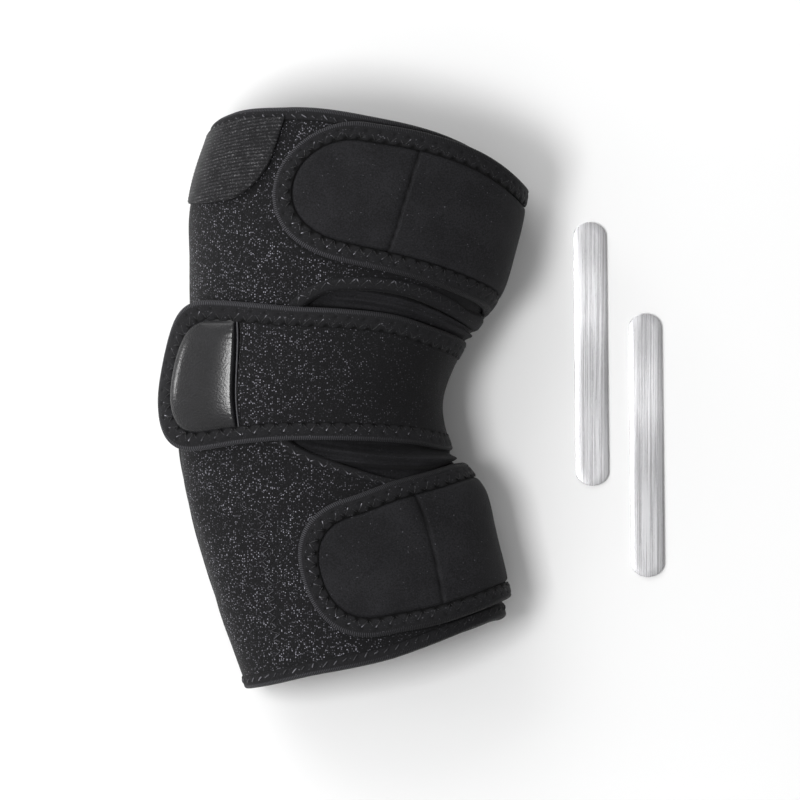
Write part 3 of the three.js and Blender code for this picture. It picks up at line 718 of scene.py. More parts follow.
# Stitches that go to and fro between two distances from an edge, or dashes with only every other leg. Each
# leg is a thin thread that rises from its hole, lies along the cloth and sinks again: a ring of five points
# carried along an arch. It has a painted glint near its outer end, faded towards +x as painted shade.
def makeStitches(name, place, ts, run, look):
    pitch, near, far, thread = look["pitch"], look["near"], look["far"], look["thread"]
    legs = max(int(run[-1] / pitch * 2), 2)
    w = np.linspace(0, 1, 8)[None, :]
    ends = np.linspace(run[0], run[-1], legs + 1)
    ends[1:-1] += rng.normal(0, 0.03 * pitch + look.get("loose", 0), legs - 1)
    sides = np.where(np.arange(legs + 1) % 2, near, far)
    sides = sides + rng.normal(0, 0.08 + look.get("loose", 0), legs + 1)
    at = ends[:-1, None] + np.diff(ends)[:, None] * w
    inward = sides[:-1, None] + np.diff(sides)[:, None] * w
    if look.get("dashes"):
        at, inward = at[::2], inward[::2]
        legs = len(at)
    rise = (look["proud"] + thread) * (1 - np.abs(2 * w - 1) ** 3.5) - thread
    rise = rise + rng.normal(0, 0.03, (legs, 1))
    t = np.interp(at, run, ts)
    middle = place(t, inward, rise)
    up = place(t, inward, rise + 0.5) - middle
    up /= np.linalg.norm(up, axis=-1, keepdims=True) + 1e-9
    middle[..., 2] = np.maximum(middle[..., 2], thread)
    ahead = np.gradient(middle, axis=1)
    side = np.cross(ahead, up)
    side /= np.linalg.norm(side, axis=-1, keepdims=True)
    ring = np.linspace(0, 2 * math.pi, 6)[:-1][None, None, :, None]
    radius = (thread * (1 - np.abs(2 * w - 1) ** 8))[..., None, None]
    around = np.cos(ring) * side[:, :, None] + np.sin(ring) * up[:, :, None]
    tube = middle[:, :, None] + radius * around
    one = gridQuads(8, 5, closed=True)
    quads = (one[None] + 40 * np.arange(legs)[:, None, None]).reshape(-1, 4)
    # Painted glint near the outer hole, random in strength and fading out from x = 12 mm to 62 mm as painted
    # shade.
    glint = bell(inward - near, look["glintAt"], look["glintSize"]) * look["glint"]
    glint = glint * rng.uniform(0.3, 1, (legs, 1)) ** 1.6 * falling(middle[..., 0], 62, 50)
    fleck = np.repeat(glint[:, :, None], 5, axis=2)
    makePiece(name, tube, quads, darkThread, fleck=fleck)


# The same place, but with every height raised by a lift.
def raised(place, lift):
    return lambda t, inward, height: place(t, inward, height + lift)


# How near a run along an edge is to a stitch's hole: 1 at a hole, falling to 0 by its width. The phase, a
# share of the pitch, picks the holes on one side of a zigzag.
def nearHole(run, pitch, phase, width):
    off = (run / pitch + phase) % 1
    return np.exp(-((np.minimum(off, 1 - off) * pitch / width) ** 2))


rimStitch = dict(pitch=4.4, near=3.2, far=5.0, thread=0.24, proud=0.2, loose=0.22, dashes=True)
rimStitch.update(glint=0.36, glintAt=0.8, glintSize=1.4)
rimTape = {"swell": 0.1, "pinch": 0.35, "pinchAt": (4.2, 1.3), "drop": 0.3, "dropAt": (5.2, 0.6), "paintedShade": 0.5}


# The rim's line and its tape: distances in from the rim are taken along the arm. The tape is pinched at each
# stitch, and drops at its inner edge, with painted shade in the crevice there.
def makeRim(name, rimAlong, inwardSign, node, phase):
    proud, wall = wrapShape["tapeProud"], wrapShape["wall"]

    def place(turn, inward, height):
        edge = rimAlong + rimReach(turn, -inwardSign)
        return armPoint(turn, edge + inwardSign * inward / alongPace(turn, rimAlong), height)

    gap = wrapShape["slitGap"]
    start, end = wrapShape["slitTurn"] + gap, wrapShape["slitTurn"] + 360 - gap
    ts, run = evenly(lambda t: place(t, 0, 0), start, end, 0.9)

    def relief(run, inward):
        pinch = bell(inward, *rimTape["pinchAt"]) * nearHole(run, rimStitch["pitch"], phase, 0.9)
        dropped = rimTape["drop"] * rising(inward, *rimTape["dropAt"])
        return rimTape["swell"] - rimTape["pinch"] * pinch - dropped

    # Painted shade in the crevice along the tape's inner edge.
    def paintedShade(run, inward):
        return rimTape["paintedShade"] * bell(inward, 5.8, 0.5)

    band = wrapShape["rimBand"]
    makeTape(name, place, ts, run, band, -wall - proud, proud, overlockTape, relief, paintedShade, node)
    makeStitches(name + "Stitches", raised(place, proud), ts, run, rimStitch)


crookStitch = dict(pitch=5.2, near=1.9, far=4.7, thread=0.24, proud=0.08, loose=0.1)
crookStitch.update(glint=0.6, glintAt=2.5, glintSize=0.55)
crookTape = {"swell": 0.35, "drop": 0.3, "dropAt": (4.4, 1.2), "stitchLift": 0.75}


# The tape round the opening on one side of the slit. t runs from -1 on the upper edge, through 0 at the
# rounded end, to 1 on the lower edge; the middle half of it is the end. The tape swells in its middle and
# drops at its inner edge.
def makeCrookTape(name, slitSide, end, node):
    proud, wall, band = wrapShape["tapeProud"], wrapShape["wall"], wrapShape["crookBand"]
    slit = wrapShape["slitTurn"] + slitSide * wrapShape["slitGap"]

    def place(t, inward, height):
        t, inward, height = np.broadcast_arrays(t, inward, height)
        size = np.abs(t)
        angle = np.clip(1 - size / 0.5, 0, 1) * math.pi / 2
        ahead, aside = quarterOval(wrapShape["openingShape"], angle)
        bend = endTurn(end, ahead, inward)
        straight = end[0] + (slit - end[0]) * np.clip(size * 2 - 1, 0, 1)
        turn = np.where(size < 0.5, bend, straight)
        edge = openingEdge(turn, np.where(t < 0, -1, 1), inward)
        along = closedAlong + (edge - closedAlong) * np.where(size < 0.5, aside, 1)
        return armPoint(turn, along, height + crookRoll(turn, along))

    ts, run = evenly(lambda t: place(t, 0, 0), -1, 1, 0.9)

    def relief(run, inward):
        swell = crookTape["swell"] * np.sin(math.pi * np.clip(inward / band, 0, 1))
        return swell - crookTape["drop"] * rising(inward, *crookTape["dropAt"])

    makeTape(name, place, ts, run, band, -wall - proud, proud, plainTape, relief, None, node)
    return place, ts, run


makeWrap()
makeRim("upperRimTape", 0, 1, "upper_rim_tape", 0)
makeRim("lowerRimTape", 1, -1, "lower_rim_tape", 1)
nearPlace, nearTs, nearRun = makeCrookTape("crookTapeNear", 1, wrapShape["nearEnd"], "crook_tape_near")
makeCrookTape("crookTapeFar", -1, wrapShape["farEnd"], "crook_tape_far")
makeStitches("crookStitches", raised(nearPlace, crookTape["stitchLift"]), nearTs, nearRun, crookStitch)
print("wrap and its tapes made")

# The layer of cloth that shows inside the opening

innerLayer = {
    "turns": (-34, 98),
    "alongs": (0.262, 0.735),
    "depth": 4.8,
    "thickness": 1.6,
    "folds": 0.8,
    "lowerFolds": 1.3,  # against the upper ones
    "gapWidths": (0.019, 0.021),
    "foldRates": (420, 290),
}
# Where it swells between the edges: turn, the middle of the upper gap, its swell, and the same of the lower
# gap.
innerRows = np.array([
    [-34, 0.35, 0, 0.614, 0],
    [-18, 0.35, 6, 0.612, 6],
    [0, 0.35, 8.6, 0.611, 8.1],
    [25, 0.34, 7.4, 0.614, 7.6],
    [45, 0.325, 5.6, 0.613, 5.8],
    [62, 0.313, 3.6, 0.608, 4.4],
    [75, 0.308, 2.4, 0.6, 3.2],
    [98, 0.305, 0, 0.585, 1],
])


# The layer's height: a depth under the wrap's face, with a swell in each gap between the opening's edge and
# the middle strap, and on each swell folds that run with the edge.
def layerHeight(turn, along):
    curves = (curveThrough(innerRows[:, 0], column, turn) for column in innerRows[:, 1:].T)
    upperAt, upperSwell, lowerAt, lowerSwell = curves
    upperWidth, lowerWidth = innerLayer["gapWidths"]
    upperRate, lowerRate = innerLayer["foldRates"]
    upper = np.exp(-(((along - upperAt) / upperWidth) ** 4))
    lower = np.exp(-(((along - lowerAt) / lowerWidth) ** 4))
    folds = upper * np.sin((along - upperAt) * upperRate + 1.2)
    folds = folds + innerLayer["lowerFolds"] * lower * np.sin((along - lowerAt) * lowerRate + turn / 24)
    start, end = innerLayer["turns"]
    folds = folds * innerLayer["folds"] * rising(turn, start, 14) * falling(turn, end, 20)
    return upperSwell * upper + lowerSwell * lower + folds - innerLayer["depth"]


def makeInnerLayer():
    turn = np.linspace(*innerLayer["turns"], 96)[:, None]
    along = np.linspace(*innerLayer["alongs"], 230)[None, :]
    height = layerHeight(turn, along)
    under = armPoint(turn, along, height - innerLayer["thickness"])
    points, quads = twoFaces(armPoint(turn, along, height), under)
    makePiece("innerLayer", points, quads, smoothCloth)


makeInnerLayer()
print("inner layer made")

# The row that holds the stay's pocket, on the forearm

pocketRow = {"turns": (119, 131), "alongs": (0.70, 0.955)}
pocketStitch = dict(pitch=3.6, near=-1.5, far=1.5, thread=0.2, proud=0.2, loose=0.35)
pocketStitch.update(glint=0.14, glintAt=1.6, glintSize=2.5)


# A straight line between the row's two ends, with distances to its side.
def pocketPlace(t, inward, height):
    turn, along = (start + (end - start) * t for start, end in (pocketRow["turns"], pocketRow["alongs"]))
    return armPoint(turn + inward / turnPace(turn, along), along, height + clothDents(turn, along))


pocketTs, pocketRun = evenly(lambda t: pocketPlace(t, 0 * t, 0 * t), 0, 1, 1.0)
makeStitches("pocketStitches", pocketPlace, pocketTs, pocketRun, pocketStitch)

# The straps

strapShape = {
    "thickness": 2.6,
    "tapeProud": 0.4,
    "lift": 1.3,  # from the wrap to the strap's under face
    "band": 8,
    "root": -46,
    "underTape": 1.2,  # how far the cloth reaches under the tape
    "crookWindow": 55,
    "tipFrom": 120,
    "rootTurns": 20,
}
clothInset = strapShape["band"] - strapShape["underTape"]
strapStitch = dict(pitch=5.7, near=3.8, far=7.4, thread=0.27, proud=0.08, loose=0.1)
strapStitch.update(glint=1.0, glintAt=0.35, glintSize=0.7)
upperStrap = {"roundFrom": 91, "tip": 117.5, "shape": 2.15, "flare": 0.8, "tipLift": 0, "rootLift": 0}
upperStrapRows = np.array([
    [-46, 0.012, 0.3],
    [0, 0.004, 0.303],
    [18, 0.002, 0.287],
    [43, 0.002, 0.273],
    [62, 0.006, 0.262],
    [84, 0.01, 0.2505],
    [100, 0.014, 0.242],
    [118, 0.028, 0.242],
])
lowerStrap = {"roundFrom": 84, "tip": 109.5, "shape": 2.3, "flare": -2.8, "tipLift": 0, "rootLift": 0}
lowerStrapRows = np.array([
    [-46, 0.635, 0.965],
    [0, 0.6275, 0.968],
    [23, 0.63, 0.977],
    [45, 0.647, 0.983],
    [62, 0.663, 0.981],
    [80, 0.688, 0.971],
    [95, 0.703, 0.965],
    [110, 0.711, 0.963],
])
middleStrap = {"roundFrom": 137, "tip": 162, "shape": 2.6, "flare": 0, "tipLift": 6.8, "rootLift": 1.5}
middleStrap["tipBand"] = 1.4  # how much wider the tape is at the tip
middleStrapRows = np.array([
    [-46, 0.372, 0.592],
    [0, 0.366, 0.598],
    [20, 0.358, 0.598],
    [47, 0.342, 0.581],
    [62, 0.33, 0.575],
    [85, 0.325, 0.571],
    [105, 0.325, 0.572],
    [120, 0.321, 0.578],
    [135, 0.316, 0.588],
    [162, 0.312, 0.592],
])


# How far a strap stands off: a flare at one edge near the crook, the tip's lift, and the root's.
def standOff(strap, turn, across):
    window = strapShape["crookWindow"]
    atCrook = np.cos(np.radians(np.clip(turn / window, -1, 1) * 90)) ** 2
    flare = abs(strap["flare"]) * atCrook * smooth(across * np.sign(strap["flare"]))
    start = strapShape["tipFrom"]
    tip = strap["tipLift"] * rising(turn, start, strap["tip"] - start) if strap["tipLift"] else 0
    return flare + tip + strap["rootLift"] * falling(turn, 0, strapShape["rootTurns"])


# A strap's flat chart: run is the distance along its middle line and across goes from -1 to 1 over its width.
# Gives the place of a chart point, the strap's length, the run where it starts to round, its half width at a
# run, the shape of its end and how much wider its tape is there.
def strapChart(strap, rows):
    turns = np.linspace(strapShape["root"], strap["tip"], 121)
    lift = strapShape["lift"] + standOff(strap, turns, 0 * turns)
    line = armPoint(turns, middleAndHalf(rows, turns)[0], lift)
    runs = np.concatenate([[0], np.cumsum(np.linalg.norm(np.diff(line, axis=0), axis=1))])

    def place(run, across, height):
        run, across, height = np.broadcast_arrays(run, across, height)
        turn = np.interp(run, runs, turns)
        middle, half = middleAndHalf(rows, turn)
        lift = strapShape["lift"] + standOff(strap, turn, across)
        return armPoint(turn, middle + across * half, lift + height)

    def halfWidth(run):
        turn = np.interp(run, runs, turns)
        middle, half = middleAndHalf(rows, turn)
        return half * alongPace(turn, middle)

    return {
        "place": place,
        "length": runs[-1],
        "roundRun": np.interp(strap["roundFrom"], turns, runs),
        "halfWidth": halfWidth,
        "shape": strap["shape"],
        "tipBand": strap.get("tipBand", 1),
    }


# A strap's outline, inset from its edge: t from -1 at the root's lower corner, through 0 at the tip, to 1 at
# its upper corner. The middle half is a full-cornered oval and the rest is straight. Gives run and across.
def strapOutline(chart, inset, t):
    size = np.abs(t)
    angle = np.clip(1 - size / 0.5, 0, 1) * math.pi / 2
    ahead, aside = quarterOval(chart["shape"], angle)
    roundRun = chart["roundRun"]
    straight = roundRun * (1 - np.clip(size * 2 - 1, 0, 1))
    reach = chart["length"] - roundRun - inset * chart["tipBand"]
    run = np.where(size < 0.5, roundRun + reach * ahead, straight)
    width = 1 - inset / chart["halfWidth"](np.where(size < 0.5, roundRun, straight))
    return run, -np.sign(t) * width * np.where(size < 0.5, aside, 1)


strapTape = {
    "swell": 0.25,
    "innerPinch": 0.9,
    "outerPinch": 0.45,
    "groove": 0.18,
    "grooveAt": (2.1, 0.35),
    "edgeAt": (7.4, 0.5),
    "stitchDrop": 0.12,  # how far the stitches sink under the tape's top
}


# The tape round a strap: a swell less a pinch at each stitch and a groove near its edge. It has painted shade
# past its inner edge, which is drawn in between the stitches, and in the holes.
def makeStrapTape(name, chart, node):
    band, far, near = strapShape["band"], strapStitch["far"], strapStitch["near"]

    def place(t, inward, height):
        t, inward, height = np.broadcast_arrays(t, inward, height)
        outerRun, outerAcross = strapOutline(chart, 0, t)
        innerRun, innerAcross = strapOutline(chart, band, t)
        share = inward / band
        run = outerRun + (innerRun - outerRun) * share
        return chart["place"](run, outerAcross + (innerAcross - outerAcross) * share, height)

    ts, run = evenly(lambda t: place(t, band / 2, 0), -1, 1, 0.62)

    def holes(run, phase, width):
        return nearHole(run, strapStitch["pitch"], phase, width)

    def relief(run, inward):
        inner = strapTape["innerPinch"] * bell(inward, far, 1.0) * (0.3 + 0.7 * holes(run, 0, 0.9))
        outer = strapTape["outerPinch"] * bell(inward, near, 0.9) * holes(run, 0.5, 0.9)
        swell = strapTape["swell"] * np.sin(math.pi * np.clip(inward / band, 0, 1)) ** 2
        return swell - inner - outer - strapTape["groove"] * bell(inward, *strapTape["grooveAt"])

    # Painted shade past the inner edge and in the stitch holes.
    def paintedShade(run, inward):
        line = 0.8 * rising(inward + 0.8 * holes(run, 0, 1.3), *strapTape["edgeAt"])
        inner = 0.95 * bell(inward, far - 0.2, 0.9) * holes(run, 0, 0.9)
        outer = 0.75 * bell(inward, near - 0.4, 0.5) * holes(run, 0.5, 0.5)
        return line + inner + outer

    high = strapShape["thickness"] + strapShape["tapeProud"]
    makeTape(name, place, ts, run, band, 0, high, overlockTape, relief, paintedShade, node)
    makeStitches(name + "Stitches", raised(place, high - strapTape["stitchDrop"]), ts, run, strapStitch)


# A crease across a strap, through points of share across and run: on the tip's side the cloth falls slowly
# to it, on the other it rises at once and settles slowly. It fades at its ends.
def crease(run, across, marks, depth):
    marks = np.asarray(marks, float)
    off = run - np.interp(across, marks[:, 0], marks[:, 1])
    ends = smooth((across - marks[0, 0]) / 0.1 + 1) * smooth((marks[-1, 0] - across) / 0.1 + 1)
    fall = -np.exp(-np.clip(off, 0, None) / 1.7)
    settle = 0.32 * np.exp(np.clip(off, None, 0) / 3.5)
    return depth * ends * (fall + (settle - fall) * smooth(-off / 0.7))


strapCloth = {"stands": 0.2, "edgeDrop": 1.3, "softDrop": 0.25, "dents": 0.18}
strapCloth.update(edgeDark=0.85, creaseDark=0.8)


# A strap's cloth: rays from its middle line to its outline, with a soft edge that sinks under the tape. It
# has painted shade under the tape's edge and in its creases.
def makeRoundPanel(name, chart, node, creases):
    ts, _ = evenly(lambda t: chart["place"](*strapOutline(chart, 6, t), 2.6), 0, 1, 0.6)
    ts = np.concatenate([-ts[::-1], ts[1:]])
    edgeRun, edgeAcross = (part[:, None] for part in strapOutline(chart, clothInset, ts))
    spine = np.minimum(edgeRun, chart["roundRun"])
    share = np.concatenate([np.linspace(0, 0.86, 26), np.linspace(0.88, 1, 13)])[None, :]
    run, across = spine + (edgeRun - spine) * share, edgeAcross * share
    sunk = strapCloth["edgeDrop"] * rising(share, 0.89, 0.08)
    sunk = sunk + strapCloth["softDrop"] * rising(share, 0.8, 0.2)
    folds = sum(crease(run, across, *row) for row in creases)
    dents = strapCloth["dents"] * np.sin(run / 9) * np.sin(across * 4 + 1) * smooth((1 - share) * 4)
    height = strapShape["thickness"] + strapCloth["stands"] - sunk + folds + dents
    loop, quads = twoFaces(chart["place"](run, across, height), chart["place"](run, across, 0 * run))
    columns = loop.shape[1]
    spineWall = quads[:, 0] % columns == columns - 1
    # Painted shade under the tape's edge and in the creases.
    dark = strapCloth["edgeDark"] * rising(share, 0.925, 0.03)
    dark = dark + strapCloth["creaseDark"] * smooth(-folds - 0.3)
    shade = onTop(np.clip(dark + 0 * run, 0, 0.95))
    makePiece(name, loop, quads[~spineWall], smoothCloth, [node], shade=shade)


upperChart = strapChart(upperStrap, upperStrapRows)
lowerChart = strapChart(lowerStrap, lowerStrapRows)
middleChart = strapChart(middleStrap, middleStrapRows)
# Each crease: its points as shares across and runs, and its depth.
creaseRows = {
    "upper": [([(-0.74, 111.2), (-0.2, 112.0), (0.3, 113.4), (0.78, 115.4)], 1.1)],
    "lower": [([(-0.78, 77.5), (0.0, 78.0), (0.7, 79.3)], 1.1)],
}
charts = {"upper": upperChart, "lower": lowerChart, "middle": middleChart}
for strapName, rows in creaseRows.items():
    makeRoundPanel(strapName + "StrapCloth", charts[strapName], strapName + "_strap", rows)
for strapName, chart in charts.items():
    makeStrapTape(strapName + "StrapTape", chart, strapName + "_strap_tape")

# The middle strap's cloth and its tab

tabShape = {
    "length": 29.2,
    "slant": 3.3,
    "bow": 1,
    "seamGap": 1.3,
    "hem": 0.32,
    "hemReach": 0.74,  # its share of the strap's width
    "underTape": 0.5,
    "stands": 0.5,
    "bulge": 2.3,
    "fullness": 6.5,
    "lowAtSeam": 0.64,
    "swell": 6.1,
    "rimDrop": 0.7,
    "seamDrop": 0.5,
    "puckers": 0.045,
}
tabRun = middleChart["length"] - strapShape["band"] - tabShape["length"]


# The seam's run at a share across the strap: slanted, and bowed towards the root in its middle.
def seamLine(across):
    return tabRun - tabShape["slant"] * across - tabShape["bow"] * (1 - across**2)


middleCloth = {"stands": 0.15, "edgeDrop": 1.1, "seamDrop": 0.9, "dents": 0.2}
middleCloth.update(fewFlecks=0.5, flecksFrom=(50, 90))


# The middle strap's cloth: a grid from its root to the seam, soft along both sides, with more flecks towards
# the seam as painted light, and fewer towards the root as painted shade.
def makeMiddlePanel():
    across = [np.linspace(-1, -0.9, 6), np.linspace(-0.86, 0.86, 44), np.linspace(0.9, 1, 6)]
    across = np.concatenate(across)[None, :]
    stop = seamLine(across) - tabShape["seamGap"]
    run = stop * np.linspace(0, 1, 190)[:, None]
    side = (1 - clothInset / middleChart["halfWidth"](run)) * across
    sunk = middleCloth["edgeDrop"] * rising(np.abs(across), 0.93, 0.07)
    sunk = sunk + middleCloth["seamDrop"] * rising(run - stop, -1.2, 1.2)
    dents = middleCloth["dents"] * np.sin(run / 8 + 2) * np.sin(across * 3)
    top = middleChart["place"](run, side, strapShape["thickness"] + middleCloth["stands"] - sunk + dents)
    loop, quads = twoFaces(top, middleChart["place"](run, side, 0 * run))
    # Painted light and shade: the flecks thin out towards the root, which turns from the light.
    few = middleCloth["fewFlecks"]
    paint = onTop(few + (1 - few) * rising(run, *middleCloth["flecksFrom"]))
    makePiece("middleStrapCloth", loop, quads, loopCloth, ["middle_strap"], fleck=paint)


# The tab: rows across it by the angle of its outline, columns from the seam to the outline. Its height is a
# dome, one less a power of how near the outline is, times a quick rise from the seam, with small puckers
# there and a drop at the outline and at the seam.
def makeTab():
    inset = strapShape["band"] - tabShape["underTape"]
    angle = np.linspace(-math.pi / 2, math.pi / 2, 91)[:, None]
    ahead, aside = quarterOval(middleChart["shape"], np.pi / 2 - np.abs(angle))
    width = 1 - inset / middleChart["halfWidth"](middleChart["roundRun"])
    slowing = 0.2 + 0.8 * np.sin(np.linspace(0, 1, 34)[1:] * math.pi / 2)
    share = np.concatenate([np.linspace(0, 0.2, 12), slowing])[None, :]
    v = np.sign(angle) * aside
    seamRun = seamLine(v)
    roundRun = middleChart["roundRun"]
    reach = middleChart["length"] - roundRun - inset * middleChart["tipBand"]
    run = seamRun + (roundRun + reach * ahead - seamRun) * share
    across = width * v + 0 * run
    forward = np.clip((run - roundRun) / reach, 0, 1)
    power = middleChart["shape"]
    ring = (np.abs(v) ** power + forward**power) ** (1 / power)
    fromSeam = run - seamRun
    rise = 1 - tabShape["lowAtSeam"] * np.exp(-fromSeam / tabShape["swell"])
    dome = tabShape["bulge"] * (1 - ring ** tabShape["fullness"]) * rise
    puckers = tabShape["puckers"] * np.sin(v * 55) * np.exp(-fromSeam / 1.5)
    dropped = tabShape["rimDrop"] * rising(ring, 0.92, 0.08) + tabShape["seamDrop"] * np.exp(-fromSeam / 0.2)
    height = strapShape["thickness"] + tabShape["stands"] + dome + puckers - dropped
    under = middleChart["place"](run, across, 0.2 + 0 * height)
    points, quads = twoFaces(middleChart["place"](run, across, height), under)
    makePiece("pullTabLeather", points, quads, tabLeather, ["pull_tab"])


# The folded hem beside the tab: a thin round edge along the seam, lightened all over by a little of the
# thread's painted glint colour as a painted highlight.
def makeHem():
    reach = tabShape["hemReach"]
    across = np.linspace(-reach, reach, 70)[:, None]
    ring = np.linspace(0, 2 * math.pi, 9)[:-1][None, :]
    run = seamLine(across / reach) - tabShape["seamGap"] + tabShape["hem"] * np.cos(ring)
    height = strapShape["thickness"] + tabShape["stands"] + tabShape["hem"] * np.sin(ring)
    points = middleChart["place"](run, across, height)
    quads = np.concatenate([gridQuads(70, 8, closed=True), endQuads(70, 8)])
    makePiece("tabHem", points, quads, darkThread, fleck=np.full(560, 0.075))


makeMiddlePanel()
makeTab()
makeHem()
print("straps made")

# The corner patch

patchShape = {
    "root": 214,
    "tip": 121,
    "radius": 19,
    "thickness": 1.1,
    "gap": 0.35,
    "edgeLift": 0.9,
    "edgeRoll": 0.45,
    "ribHeight": 0.05,
    "fromRim": 4.5,
    "alongLength": 206,  # millimetres for a whole step of along, on its flat map
    "turnLength": 1.2,
    "paintedSheenTurns": ((146, 22), (205, 20)),
}
patchRows = np.array([[121, 0.15], [133, 0.152], [146, 0.15], [163, 0.1425], [214, 0.14]])


# The patch: columns round the arm from its free corner, rows down from the rim, the lower edge cut by a
# quarter circle at the corner. Its ribs follow the rim, and the free edge stands a little off the wrap. Round
# its left edge it carries a painted sheen.
def makePatch():
    corner = patchShape["radius"] / turnPace(patchShape["tip"], patchRows[0, 1])
    ahead, aside = quarterOval(2, np.linspace(math.pi / 2, 0, 22))
    roundTurns = patchShape["tip"] + corner * (1 - ahead)
    turn = np.concatenate([roundTurns, np.linspace(roundTurns[-1], patchShape["root"], 90)[1:]])[:, None]
    cut = patchShape["radius"] * (1 - np.concatenate([aside, np.ones(89)]))[:, None]
    edge = curveThrough(patchRows[:, 0], patchRows[:, 1], turn)
    lower = edge - cut / alongPace(turn, edge)
    upper = patchShape["fromRim"] / alongPace(turn, 0) + rimReach(turn, -1)
    down = np.linspace(0, 1, 110)[None, :]
    along = upper + (lower - upper) * down
    fromTip = (turn - patchShape["tip"]) * turnPace(turn, along)
    fromEdge = np.minimum((lower - along) * alongPace(turn, along), fromTip)
    lift = patchShape["edgeLift"] * falling(fromEdge, 9, 9) * falling(turn, 185, 30)
    mapDown = along * patchShape["alongLength"]
    ribs = patchShape["ribHeight"] * np.cos(2 * math.pi * mapDown / ribbedLook["ribPitch"])
    low = patchShape["gap"] + lift + 0 * along
    high = low + patchShape["thickness"] + ribs - patchShape["edgeRoll"] * falling(fromEdge, 0.7, 0.7)
    points, quads = twoFaces(armPoint(turn, along, high), armPoint(turn, along, low))
    flat = np.stack(np.broadcast_arrays(turn * patchShape["turnLength"], mapDown), axis=-1)
    uv = np.concatenate([flat, flat[:, ::-1]], axis=1)
    # Painted sheen on the turns from about 146 to 205 degrees, round the left edge, standing in for the sheen
    # of light there.
    start, end = patchShape["paintedSheenTurns"]
    paintedSheen = onTop(rising(turn, *start) * falling(turn, *end) + 0 * along)
    makePiece("cornerPatch", points, quads, ribbedCloth, ["corner_patch"], uv, paintedSheen)


makePatch()
print("patch made")

# The stays

stayShape = {"length": 111.5, "width": 13.9, "thickness": 1.5, "endRound": 5.9, "bevel": 0.3, "turn": 0.65}


# A stay: its outline, with straight sides and oval ends, carried from its under face over rounded edges to
# its upper face. Each face closes on the stay's middle line.
def makeStay(name, node):
    low, high = (np.array(corner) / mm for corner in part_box(node))
    centre = (low + high) / 2
    angle = np.linspace(0, math.pi, 32)
    halfWide, halfLong, endRound = stayShape["width"] / 2, stayShape["length"] / 2, stayShape["endRound"]
    end = [halfWide * np.cos(angle), halfLong - endRound + endRound * np.sin(angle)]
    end = np.stack(end, axis=-1)
    outline = np.concatenate([end, -end])
    bevel, thick = stayShape["bevel"], stayShape["thickness"]
    bend = np.radians(np.linspace(0, 90, 5))
    opening, closing = bevel * (1 - np.sin(bend)), bevel * (1 - np.cos(bend))
    inset = np.concatenate([[halfWide, 3], opening, closing, [3, halfWide]])
    height = np.concatenate([[0, 0], closing, thick - opening, [thick, thick]])
    shrink = 1 - inset[:, None, None] / np.array([halfWide, halfLong])
    flatX, flatY = np.moveaxis(outline[None] * shrink, -1, 0)
    turn = math.radians(stayShape["turn"])
    x = flatX * math.cos(turn) - flatY * math.sin(turn) + centre[0]
    y = flatX * math.sin(turn) + flatY * math.cos(turn) + centre[1]
    points = np.stack(np.broadcast_arrays(x, y, height[:, None]), axis=-1)
    material = metalMaterial(name + "Metal", metalLook, low[1] * mm, high[1] * mm)
    makePiece(name, points, gridQuads(len(inset), 64, closed=True), material, [node])


makeStay("stayUpper", "stay_1")
makeStay("stayLower", "stay_2")
print("stays made")

# The stage: a pale floor, soft lights and the camera

stageLook = {
    "pixel": 0.42,  # millimetres a pixel of the photograph
    "originPixel": (305.5, 406),
    "distance": 5600,
    "key": (6.4, (-0.3, -0.06, 1.05), 0.28),  # watts, place and size in metres
    "side": (15, (-0.9, 1.5, 1.2), 1.5),
    "rim": (3.8, (-1.5, 0.12, 0.17), 0.26),
    "world": (0.92, 0.17),  # from the left and from the right
}


def makeFloor():
    mesh = bpy.data.meshes.new("floor")
    mesh.from_pydata([(-9, -9, 0), (9, -9, 0), (9, 9, 0), (-9, 9, 0)], [], [(0, 1, 2, 3)])
    mesh.materials.append(floorMaterial("paleFloor", floorLook))
    floor = bpy.data.objects.new("floor", mesh)
    bpy.context.scene.collection.objects.link(floor)


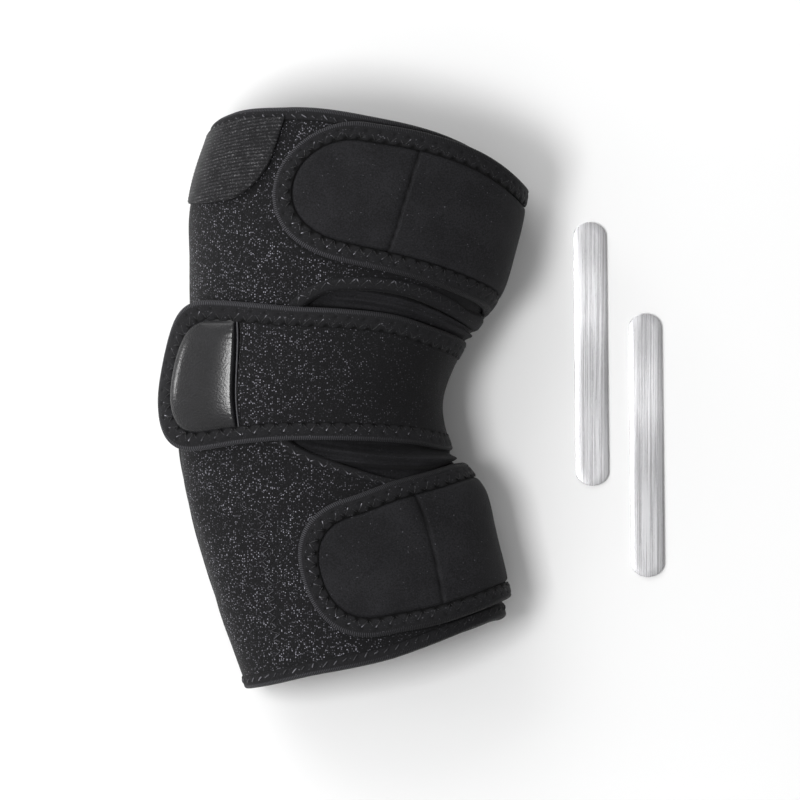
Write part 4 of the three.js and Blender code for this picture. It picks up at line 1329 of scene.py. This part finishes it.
def makeLight(name, power, place, size):
    light = bpy.data.lights.new(name, "AREA")
    light.energy, light.size = power, size
    lamp = bpy.data.objects.new(name, light)
    lamp.location = place
    lamp.rotation_euler = (-Vector(place)).to_track_quat("-Z", "Y").to_euler()
    lamp.visible_camera = False
    bpy.context.scene.collection.objects.link(lamp)


def makeCamera():
    data = bpy.data.cameras.new("camera")
    pixel = stageLook["pixel"] * mm
    distance = stageLook["distance"] * mm
    data.lens = data.sensor_width * distance / (800 * pixel)
    data.clip_end = 50
    camera = bpy.data.objects.new("camera", data)
    atX, atY = stageLook["originPixel"]
    camera.location = ((400 - atX) * pixel, (atY - 400) * pixel, distance + 0.04)
    bpy.context.scene.collection.objects.link(camera)
    bpy.context.scene.camera = camera


def makeWorld():
    world = bpy.data.worlds.new("studio")
    world.use_nodes = True
    tree = world.node_tree
    direction = addNode(tree, "SeparateXYZ", {0: addNode(tree, "TexCoord").outputs["Generated"]}).outputs[0]
    fromLeft, fromRight = stageLook["world"]
    background = tree.nodes["Background"].inputs
    tree.links.new(stepped(tree, direction, -0.9, 0.9, fromLeft, fromRight), background[1])
    background[0].default_value = (1, 1, 1, 1)
    bpy.context.scene.world = world
    bpy.context.scene.view_settings.view_transform = "Standard"


makeFloor()
for lightName in ("key", "side", "rim"):
    makeLight(lightName, *stageLook[lightName])
makeCamera()
makeWorld()
print("stage made")

# What the cloth was cut to. The wrap is the mean ring round the arm by the length on top; a strap's cloth is
# what its chart has inside the tape; the patch and the inner layer are their turns by their lengths. These
# sizes are worked out here and not kept or passed on.
def declareCloth():
    ring = turnPace(np.arange(360.0), 0.5)
    length = alongPace(90, np.linspace(0, 0.99, 100)).mean()
    for name, chart in charts.items():
        width = 2 * (chart["halfWidth"](chart["roundRun"]) - clothInset)
    patchWide = turnPace(np.arange(patchShape["tip"], patchShape["root"], 1.0), 0.07).sum()
    layerWide = turnPace(np.arange(*innerLayer["turns"], 1.0), 0.5).sum()
    layerLong = np.diff(innerLayer["alongs"])[0] * alongPace(30, 0.5)


declareCloth()
